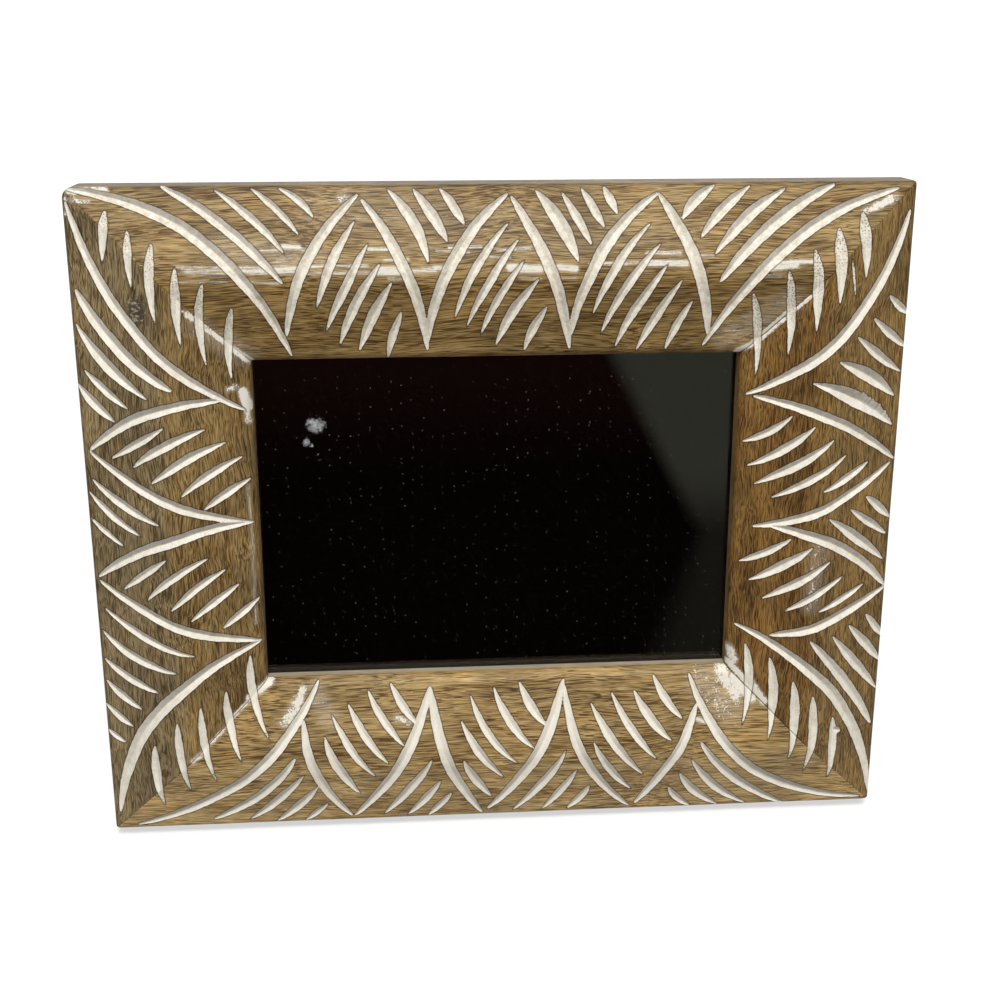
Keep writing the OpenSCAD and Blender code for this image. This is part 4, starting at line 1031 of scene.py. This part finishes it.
def plated_metal(name, colour, stain, roughness):
    # Plate on stamped sheet steel: metallic, brightest on fresh metal and dulled by handling in blotches.
    made, tree, shader = new_material(name)
    place = object_place(tree)
    blotch = noise(tree, place, 5 * MM, 5.0, 0.65)[0]
    worn = ramp(tree, blotch, 0.42, 0.68, 0.0, 0.7)
    tree.links.new(mix(tree, worn, rgba(colour), rgba(stain)), shader.inputs["Base Color"])
    shader.inputs["Metallic"].default_value = 1.0
    scratch = noise(tree, stretched(tree, place, (9 * MM, 0.3 * MM, 0.3 * MM)), 1.0)[0]
    shine = ramp(tree, maths(tree, "ADD", blotch, scratch), 0.75, 1.25, roughness - 0.1, roughness + 0.14)
    tree.links.new(shine, shader.inputs["Roughness"])
    bump(tree, shader, scratch, 0.2, 0.00004)
    return made


def shared(name, maker, *values):
    """The material of that name, made the first time that it is asked for."""
    return bpy.data.materials.get(name) or maker(*values)


def zinc():
    """The finish of the hinge, its pin and rivets and the V-nails."""
    name, c = "zinc_plated_steel", bpy.context.scene.fitting_colours
    return shared(name, plated_metal, name, c.zinc, hex_colour("#8C8B86"), 0.34)


def brass():
    """The finish of the turn buttons, their screws and the hanger."""
    name, c = "brass_plated_steel", bpy.context.scene.fitting_colours
    return shared(name, plated_metal, name, c.brass, hex_colour("#8A6A34"), 0.32)


def eased_copy(name, node, width, segments=2):
    """A copy of a CAD solid with its doubles merged and its flat faces joined, and its edges eased by a
    bevel of that width in mm."""
    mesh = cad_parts[node].data.copy()
    mesh.name = name
    mesh.materials.clear()
    shape = bmesh.new()
    shape.from_mesh(mesh)
    bmesh.ops.remove_doubles(shape, verts=shape.verts, dist=2e-6)
    bmesh.ops.dissolve_limit(shape, angle_limit=radians(2), verts=shape.verts, edges=shape.edges)
    for face in shape.faces:
        face.smooth = True
    shape.to_mesh(mesh)
    shape.free()
    obj = bpy.data.objects.new(name, mesh)
    bpy.context.scene.collection.objects.link(obj)
    bevel = obj.modifiers.new("Eased edges", "BEVEL")
    bevel.width = width * MM
    bevel.segments = segments
    bevel.limit_method = "ANGLE"
    bevel.angle_limit = radians(28)
    bevel.harden_normals = True
    return obj


def turned_parts(profile, places, way="y", count=40):
    """Points and faces of solids of revolution: each row of the profile is a radius and a place along the
    axis, and the first and last rings are closed by flat faces. A copy stands at each place."""
    rows = np.asarray(profile, float)
    t = np.linspace(0, 2 * pi, count, endpoint=False)
    across = np.stack([rows[:, :1] * np.cos(t), rows[:, :1] * np.sin(t)])
    along = rows[:, 1:2] + np.zeros(count)
    one = np.stack([across[0], along, across[1]] if way == "y" else [along, across[1], across[0]], -1)
    one = one.reshape(-1, 3)
    quads = grid_quads(len(rows), count, wrap_columns=True)
    caps = np.stack([np.arange(count)[::-1], (len(rows) - 1) * count + np.arange(count)])
    points = [one + np.asarray(p, float) for p in places]
    shift = [len(one) * i for i in range(len(places))]
    return np.concatenate(points), *[np.concatenate([faces + n for n in shift]) for faces in (quads, caps)]


def dome(radius, base, top, count=7):
    """Profile of a domed head from its rim at base to its middle at top: a quarter of a flat ellipse."""
    t = np.linspace(0, pi / 2, count)
    return [(radius * cos(a) + 0.02, base + (top - base) * sin(a)) for a in t]


def turned_piece(name, profile, places, way="y", move=None):
    """A smooth object of such solids, first moved by a function of their points where one is given."""
    points, quads, caps = turned_parts(profile, places, way)
    if move:
        points = move(points)
    obj = mesh_object(name, leaned(points), [quads, caps])
    fix_normals(obj)
    return obj


def fix_normals(obj):
    """Merges doubles and turns all faces outwards."""
    shape = bmesh.new()
    shape.from_mesh(obj.data)
    bmesh.ops.remove_doubles(shape, verts=shape.verts, dist=1e-7)
    bmesh.ops.recalc_face_normals(shape, faces=shape.faces)
    shape.to_mesh(obj.data)
    shape.free()
    obj.data.set_sharp_from_angle(angle=SHARP)


class FRAME_OT_carved_rails(bpy.types.Operator):
    """Makes the four carved and mitred rails"""

    bl_idname = "picture_frame.carved_rails"
    bl_label = "Carved rails"

    def execute(self, context):
        wood = mango_wood()
        for name in RAILS:
            carve_rail(name, wood)
        return {"FINISHED"}


def rebate_sizes():
    """Sizes in mm of what fills the rebate."""
    s = bpy.context.scene.frame_sizes
    grow = 2 * (s.lip_width - s.rail_width) - 2 * REBATE_PLAY * MM
    return {"fill_w": (s.width + grow) / MM, "fill_h": (s.height + grow) / MM, "middle": s.height / MM / 2}


def sheet_piece(name, behind, inset, columns, rows):
    """A flat sheet in the rebate as a closed grid: its front and back are joined round the edge. Behind is
    how far its front and its back lie behind the front of the glass."""
    s = rebate_sizes()
    front = -bpy.context.scene.frame_sizes.rebate_depth / MM
    w, h, f = s["fill_w"] / 2 - inset, s["fill_h"] / 2 - inset, s["middle"]
    x, z = np.meshgrid(np.linspace(-w, w, columns), np.linspace(-h, h, rows))
    sides = [np.stack([x, np.full(x.shape, front + y), z + f], -1).reshape(-1, 3) for y in behind]
    quads = grid_quads(rows, columns)
    count = rows * columns
    ring = np.concatenate([np.arange(columns), np.arange(2 * columns - 1, count, columns),
                           np.arange(count - 2, count - columns - 1, -1),
                           np.arange(count - 2 * columns, 0, -columns)])
    after = np.roll(ring, -1)
    rim = np.stack([ring, ring + count, after + count, after], -1)
    obj = mesh_object(name, leaned(np.concatenate(sides)), [quads, quads[:, ::-1] + count, rim])
    obj.data.set_sharp_from_angle(angle=SHARP)
    return obj


class FRAME_OT_glass_and_card(bpy.types.Operator):
    """Makes the glass pane, the black card behind it and the card that packs the rebate"""

    bl_idname = "picture_frame.glass_and_card"
    bl_label = "Glass and cards"

    def execute(self, context):
        pane = sheet_piece("float_glass_pane", GLASS, 0.0, 177, 127)
        points = np.zeros(len(pane.data.vertices) * 3, np.float32)
        pane.data.vertices.foreach_get("co", points)
        points = points.reshape(-1, 3) / MM
        a = context.scene.frame_sizes.lean
        x, z = points[:, 0], points[:, 2] * cos(a) + points[:, 1] * sin(a)
        smear = np.zeros(len(x))
        for sx, sz, rx, rz in SMEARS:
            smear = np.maximum(smear, 1.25 - np.hypot((x - sx) / rx, (z - sz) / rz))
        on_front = np.arange(len(x)) < len(x) // 2
        set_attribute(pane.data, "smear", "FLOAT", np.clip(smear, 0, 1) * on_front)
        set_attribute(pane.data, "dusty", "FLOAT", on_front)
        finish_piece(pane, float_glass(), "frame", ["glass_pane"])
        card = sheet_piece("black_card_sheet", BLACK_CARD, CARD_INSET, 12, 9)
        finish_piece(card, black_card(), "frame", ["black_insert_card"])
        filler = sheet_piece("filler_card_sheet", FILLER_CARD, CARD_INSET, 12, 9)
        colours = context.scene.fitting_colours
        grey = fibre_board("grey_card", colours.filler, hex_colour("#C4B694"), 1.2, 0.85, 0.6)
        finish_piece(filler, grey, "frame", ["filler_card"])
        return {"FINISHED"}


class FRAME_OT_back_board(bpy.types.Operator):
    """Makes the back board and the V-nails of the mitres"""

    bl_idname = "picture_frame.back_board"
    bl_label = "Back board and mitre nails"

    def execute(self, context):
        colours = context.scene.fitting_colours
        board = eased_copy("fibre_back_board", "back_board", 0.35)
        stained = fibre_board("stained_fibreboard", colours.board, colours.board_fibre, 1.7, 0.62, 1.0)
        finish_piece(board, stained, "frame", ["back_board"])
        nails = eased_copy("mitre_nail_strips", "mitre_v_nails", 0.08, 1)
        finish_piece(nails, zinc(), "frame", ["mitre_v_nails"])
        return {"FINISHED"}


def rivet_head(face):
    """Profile of a domed rivet head on that face, from the shank over the rim to the middle."""
    return [(RIVET_SHANK, face), (RIVET_HEAD, face)] + dome(2.66, face + 0.06, face + RIVET_RISE)


class FRAME_OT_easel_leg(bpy.types.Operator):
    """Makes the leg, its hinge and the rivets of both hinge leaves"""

    bl_idname = "picture_frame.easel_leg"
    bl_label = "Easel leg and hinge"

    def execute(self, context):
        s = context.scene.frame_sizes
        colours = context.scene.fitting_colours
        painted = fibre_board("painted_fibreboard", colours.leg, hex_colour("#4A3D32"), 1.3, 0.7, 0.8)
        worn = fibre_board("worn_board_edge", colours.leg_edge, hex_colour("#7A624C"), 0.6, 0.8, 0.9)
        leg = eased_copy("easel_leg_panel", "easel_leg", 0.45)
        leg.modifiers["Eased edges"].material = 1
        finish_piece(leg, [painted, worn], "leg", ["easel_leg"])
        leaf = eased_copy("board_hinge_leaf", "hinge_board_leaf", 0.12)
        finish_piece(leaf, zinc(), "frame", ["hinge_board_leaf"])
        leaf = eased_copy("leg_hinge_leaf", "hinge_leg_leaf", 0.12)
        finish_piece(leaf, zinc(), "leg", ["hinge_leg_leaf"])

        # Profiles are rows of a radius and a place along the axis, in mm. The pin is closed by two heads.
        pin_y, pin_z = s.pin_back / MM, s.pin_height / MM
        half = [(1.0, 15.2), (1.5, 15.25), (1.5, 15.5), (1.25, 15.75), (0.5, 15.8)]
        pin = [(x, -y) for x, y in reversed(half)] + half
        rod = turned_piece("hinge_pin_rod", pin, [(0, pin_y, pin_z)], way="x")
        finish_piece(rod, zinc(), "frame", ["hinge_pin"])
        # Rivets of the board: a flat head inside, the shank and a domed head outside
        inside, outside = -2.7, 0.7
        shape = [(0.3, inside - RIVET_RISE), (2.5, inside - RIVET_RISE), (RIVET_HEAD, inside - 0.6),
                 (RIVET_HEAD, inside), (RIVET_SHANK, inside)] + rivet_head(outside)
        places = [(side * 10.3, 0, pin_z + z) for side in (-1, 1) for z in (15.3, 6.5)]
        rivets = turned_piece("board_leaf_rivets", shape, places)
        finish_piece(rivets, zinc(), "frame", ["board_rivets"])
        # Rivets of the leg: a domed head on both sides
        inside, outside = 1.2, 5.0
        shape = [(x, inside - (y - inside)) for x, y in reversed(rivet_head(inside))] + rivet_head(outside)
        places = [(x, 0, pin_z + z) for x, z in ((-9, -9), (9, -9), (0, -17))]
        rivets = turned_piece("leg_leaf_rivets", shape, places, move=opened)
        finish_piece(rivets, zinc(), "leg", ["leg_rivets"])
        return {"FINISHED"}


def slotted_heads(places, radius, height, slot, depth, base):
    """Domed screw heads with a straight slot. Rows of each head run beside the slot, columns across it on
    a sine so that they close up at the rim, and its height falls from the middle to the rim as the square
    root of 1 - r^4."""
    z = np.concatenate([-radius * np.cos(np.linspace(0, 1.42, 9)), [-slot / 2, -slot / 2, -slot / 4]])
    sunk = np.array([0] * 10 + [1, 1])
    z, sunk = np.concatenate([z, [0], -z[::-1]]), np.concatenate([sunk, [1], sunk[::-1]])
    u = np.sin(np.linspace(-pi / 2, pi / 2, 25))
    x = u * np.sqrt(np.maximum(radius ** 2 - z ** 2, 1e-6))[:, None]
    zz = z[:, None] + np.zeros(len(u))
    r = np.minimum(np.hypot(x, zz) / radius, 1)
    rise = height * np.sqrt(np.maximum(1 - r ** 4, 0))
    rise = np.where(sunk[:, None] > 0, np.maximum(np.minimum(rise, height - depth), 0), rise)
    top = np.stack([x, base + rise, zz], -1).reshape(-1, 3)
    flat = np.stack([x, np.full(x.shape, base), zz], -1).reshape(-1, 3)
    one = np.concatenate([top, flat])
    quads = grid_quads(len(z), len(u))
    both = np.concatenate([quads, quads[:, ::-1] + len(top)])
    points = np.concatenate([one + np.asarray(p, float) for p in places])
    return points, np.concatenate([both + len(one) * i for i in range(len(places))])


class FRAME_OT_turn_buttons(bpy.types.Operator):
    """Makes the four turn buttons and their screws"""

    bl_idname = "picture_frame.turn_buttons"
    bl_label = "Turn buttons and screws"

    def execute(self, context):
        s = rebate_sizes()
        across, low, high = s["fill_w"] / 2 - BUTTON_END, BUTTON_LOW, 2 * s["middle"] - BUTTON_LOW
        for name in ("top_left", "top_right", "bottom_left", "bottom_right"):
            button = eased_copy("button_plate_" + name, "turn_button_" + name, 0.3)
            finish_piece(button, brass(), "button_" + name, ["turn_button_" + name])
        places = [(side * across, 0, z) for side in (-1, 1) for z in (low, high)]
        heads, faces = slotted_heads(places, radius=3.0, height=1.7, slot=0.8, depth=0.8, base=1.6)
        shank = [(0.3, -10.0), (0.9, -9.2), (1.5, -7.6), (1.5, 1.62), (0.4, 1.62)]
        points, quads, caps = turned_parts(shank, places, count=24)
        screws = mesh_object("button_screws", leaned(np.concatenate([heads, points])),
                             [faces, quads + len(heads), caps + len(heads)])
        fix_normals(screws)
        finish_piece(screws, brass(), "frame", ["turn_button_screws"])
        return {"FINISHED"}


class FRAME_OT_wall_hanger(bpy.types.Operator):
    """Makes the sawtooth hanger and its two nails"""

    bl_idname = "picture_frame.wall_hanger"
    bl_label = "Sawtooth hanger"

    def execute(self, context):
        hanger = eased_copy("sawtooth_strip", "sawtooth_hanger", 0.12)
        finish_piece(hanger, brass(), "frame", ["sawtooth_hanger"])
        nail = [(0.1, -8.0), (0.7, -6.8), (0.7, 0.8), (2.0, 0.8)] + dome(1.97, 0.86, 1.4)
        places = [(side * 18.0, 0, 2 * rebate_sizes()["middle"] - 26) for side in (-1, 1)]
        nails = turned_piece("hanger_nail_pair", nail, places)
        finish_piece(nails, brass(), "frame", ["hanger_nails"])
        return {"FINISHED"}


def seen_directly(tree):
    """1 where the camera sees a surface, by itself, in the glass or through it, and 0 for its light."""
    ray = add(tree, "ShaderNodeLightPath").outputs
    seen = maths(tree, "ADD", ray["Is Camera Ray"], ray["Is Glossy Ray"])
    return maths(tree, "ADD", seen, ray["Is Transmission Ray"], clamp=True)


def white_paper():
    # White paper, matt: shown as pure white to the camera where no shadow falls.
    made, tree, shader = new_material("white_paper_floor")
    shader.inputs["Base Color"].default_value = (0.4, 0.4, 0.4, 1)
    shader.inputs["Roughness"].default_value = 0.9
    shader.inputs["Specular IOR Level"].default_value = 0.0
    away = add(tree, "ShaderNodeVectorMath", {0: object_place(tree)}, operation="LENGTH").outputs["Value"]
    lift = ramp(tree, away, 0.35, 1.3, 0.6, 1.0, "SMOOTHSTEP")
    shader.inputs["Emission Color"].default_value = (1, 1, 1, 1)
    tree.links.new(maths(tree, "MULTIPLY", seen_directly(tree), lift), shader.inputs["Emission Strength"])
    return made


def mirrored_room():
    # What the glass mirrors: a dark room, with a pale wall to the right that ends in a soft slanted edge.
    made, tree, _ = new_material("room_seen_in_the_glass")
    place = add(tree, "ShaderNodeSeparateXYZ", {0: object_place(tree)}).outputs
    edge = maths(tree, "MULTIPLY_ADD", place["Z"], 0.48, place["X"])
    edge = maths(tree, "MULTIPLY_ADD", place["Y"], 0.236, edge)
    wall = ramp(tree, edge, 0.02, 0.06, curve="SMOOTHSTEP")
    wall = maths(tree, "MULTIPLY", wall, ramp(tree, place["Z"], -0.02, 0.1, 0.2, 1.0, "SMOOTHSTEP"))
    dusk = mix(tree, ramp(tree, place["Z"], 0.1, 0.26), (0.008, 0.004, 0.003, 1), (0.058, 0.02, 0.017, 1))
    shade = mix(tree, wall, dusk, (0.315, 0.315, 0.245, 1))
    glow = add(tree, "ShaderNodeEmission", {"Color": shade, "Strength": 1.0}).outputs[0]
    tree.links.new(glow, tree.nodes["Material Output"].inputs["Surface"])
    return made


def white_world(sky):
    """A world that looks pure white and gives that much light."""
    world = bpy.data.worlds.new("soft_white_room")
    world.use_nodes = True
    tree = world.node_tree
    background = tree.nodes["Background"]
    background.inputs["Color"].default_value = (1, 1, 1, 1)
    tree.links.new(ramp(tree, seen_directly(tree), 0.0, 1.0, sky, 1.0), background.inputs["Strength"])
    return world


def plain_quad(name, corners, material):
    """A flat four-sided card of the stage."""
    obj = mesh_object(name, np.asarray(corners, float), [np.arange(4)])
    obj.data.materials.append(material)
    return obj


def area_lamp(name, place, target, side, light):
    """A square lamp that looks at the target. Its power, which grows with the square of the distance, gives
    that share of plain light on a surface that faces it."""
    data = bpy.data.lights.new(name, "AREA")
    data.shape = "SQUARE"
    data.size = side
    way = Vector(target) - Vector(place)
    data.energy = light * pi * pi * way.length ** 2
    obj = bpy.data.objects.new(name, data)
    bpy.context.scene.collection.objects.link(obj)
    obj.location = place
    obj.rotation_euler = way.to_track_quat("-Z", "Y").to_euler()
    return obj


def stage_camera(settings):
    """The camera, at its place in the frame's axes."""
    data = bpy.data.cameras.new("camera")
    data.sensor_width = 36
    data.lens = settings.lens
    data.clip_start = 0.01
    camera = bpy.data.objects.new("camera", data)
    bpy.context.scene.collection.objects.link(camera)
    camera.location = settings.camera_place
    camera.rotation_euler = settings.camera_turn
    return camera


class FRAME_OT_stage(bpy.types.Operator):
    """Makes the floor, the lamps, the cards that the glass mirrors, the world and the camera"""

    bl_idname = "picture_frame.stage"
    bl_label = "Stage"

    def execute(self, context):
        scene = context.scene
        s = scene.stage_settings
        reach, under = 4.0, -0.0003
        plain_quad("paper_floor", [(-reach, -reach, under), (reach, -reach, under), (reach, reach, under),
                                   (-reach, reach, under)], white_paper())

        # Cards that only the glass and the gloss see
        room = mirrored_room()
        left, right, front, back, top, over = -1.6, 1.8, -1.6, -0.1, 1.1, 0.001
        for name, corners in {
            "upright_card": [(left, front, 0), (right, front, 0), (right, front, top), (left, front, top)],
            "floor_card": [(left, front, over), (right, front, over), (right, back, over),
                           (left, back, over)],
        }.items():
            card = plain_quad(name, corners, room)
            card.visible_camera = False
            card.visible_diffuse = False
            card.visible_shadow = False

        scene.world = white_world(s.sky)
        middle = (0, 0, 0.11)
        area_lamp("soft_key", (-0.05, -0.85, 2.2), middle, 0.7, s.key)
        area_lamp("back_light", (0.4, 1.9, 1.6), middle, 1.2, s.back)
        scene.camera = stage_camera(s)
        scene.view_settings.view_transform = "Standard"
        return {"FINISHED"}


OPERATORS = (FRAME_OT_carved_rails, FRAME_OT_glass_and_card, FRAME_OT_back_board, FRAME_OT_easel_leg,
             FRAME_OT_turn_buttons, FRAME_OT_wall_hanger, FRAME_OT_stage)
GROUPS = {"frame_sizes": FrameSizes, "carving_style": CarvingStyle, "wood_colours": WoodColours,
          "fitting_colours": FittingColours, "stage_settings": StageSettings}


class FRAME_PT_pieces(bpy.types.Panel):
    """Lists the pieces of the frame in the sidebar"""

    bl_idname = "FRAME_PT_pieces"
    bl_label = "Carved Picture Frame"
    bl_space_type = "VIEW_3D"
    bl_region_type = "UI"
    bl_category = "Picture Frame"

    def draw(self, context):
        for name, group in GROUPS.items():
            box = self.layout.box()
            box.label(text=group.__doc__.strip().split(".")[0])
            for key in group.__annotations__:
                box.prop(getattr(context.scene, name), key)
        for operator in OPERATORS:
            self.layout.operator(operator.bl_idname)


def register():
    """Makes the settings, the operators and the panel known."""
    for group in GROUPS.values():
        bpy.utils.register_class(group)
    for name, group in GROUPS.items():
        setattr(bpy.types.Scene, name, bpy.props.PointerProperty(type=group))
    for part in OPERATORS + (FRAME_PT_pieces,):
        bpy.utils.register_class(part)


def unregister():
    for part in reversed(OPERATORS + (FRAME_PT_pieces,)):
        bpy.utils.unregister_class(part)
    for name, group in GROUPS.items():
        delattr(bpy.types.Scene, name)
        bpy.utils.unregister_class(group)


def main():
    """Makes every piece and the stage."""
    register()
    bpy.ops.picture_frame.carved_rails()
    bpy.ops.picture_frame.glass_and_card()
    bpy.ops.picture_frame.back_board()
    bpy.ops.picture_frame.easel_leg()
    bpy.ops.picture_frame.turn_buttons()
    bpy.ops.picture_frame.wall_hanger()
    bpy.ops.picture_frame.stage()


if __name__ == "__main__":
    main()
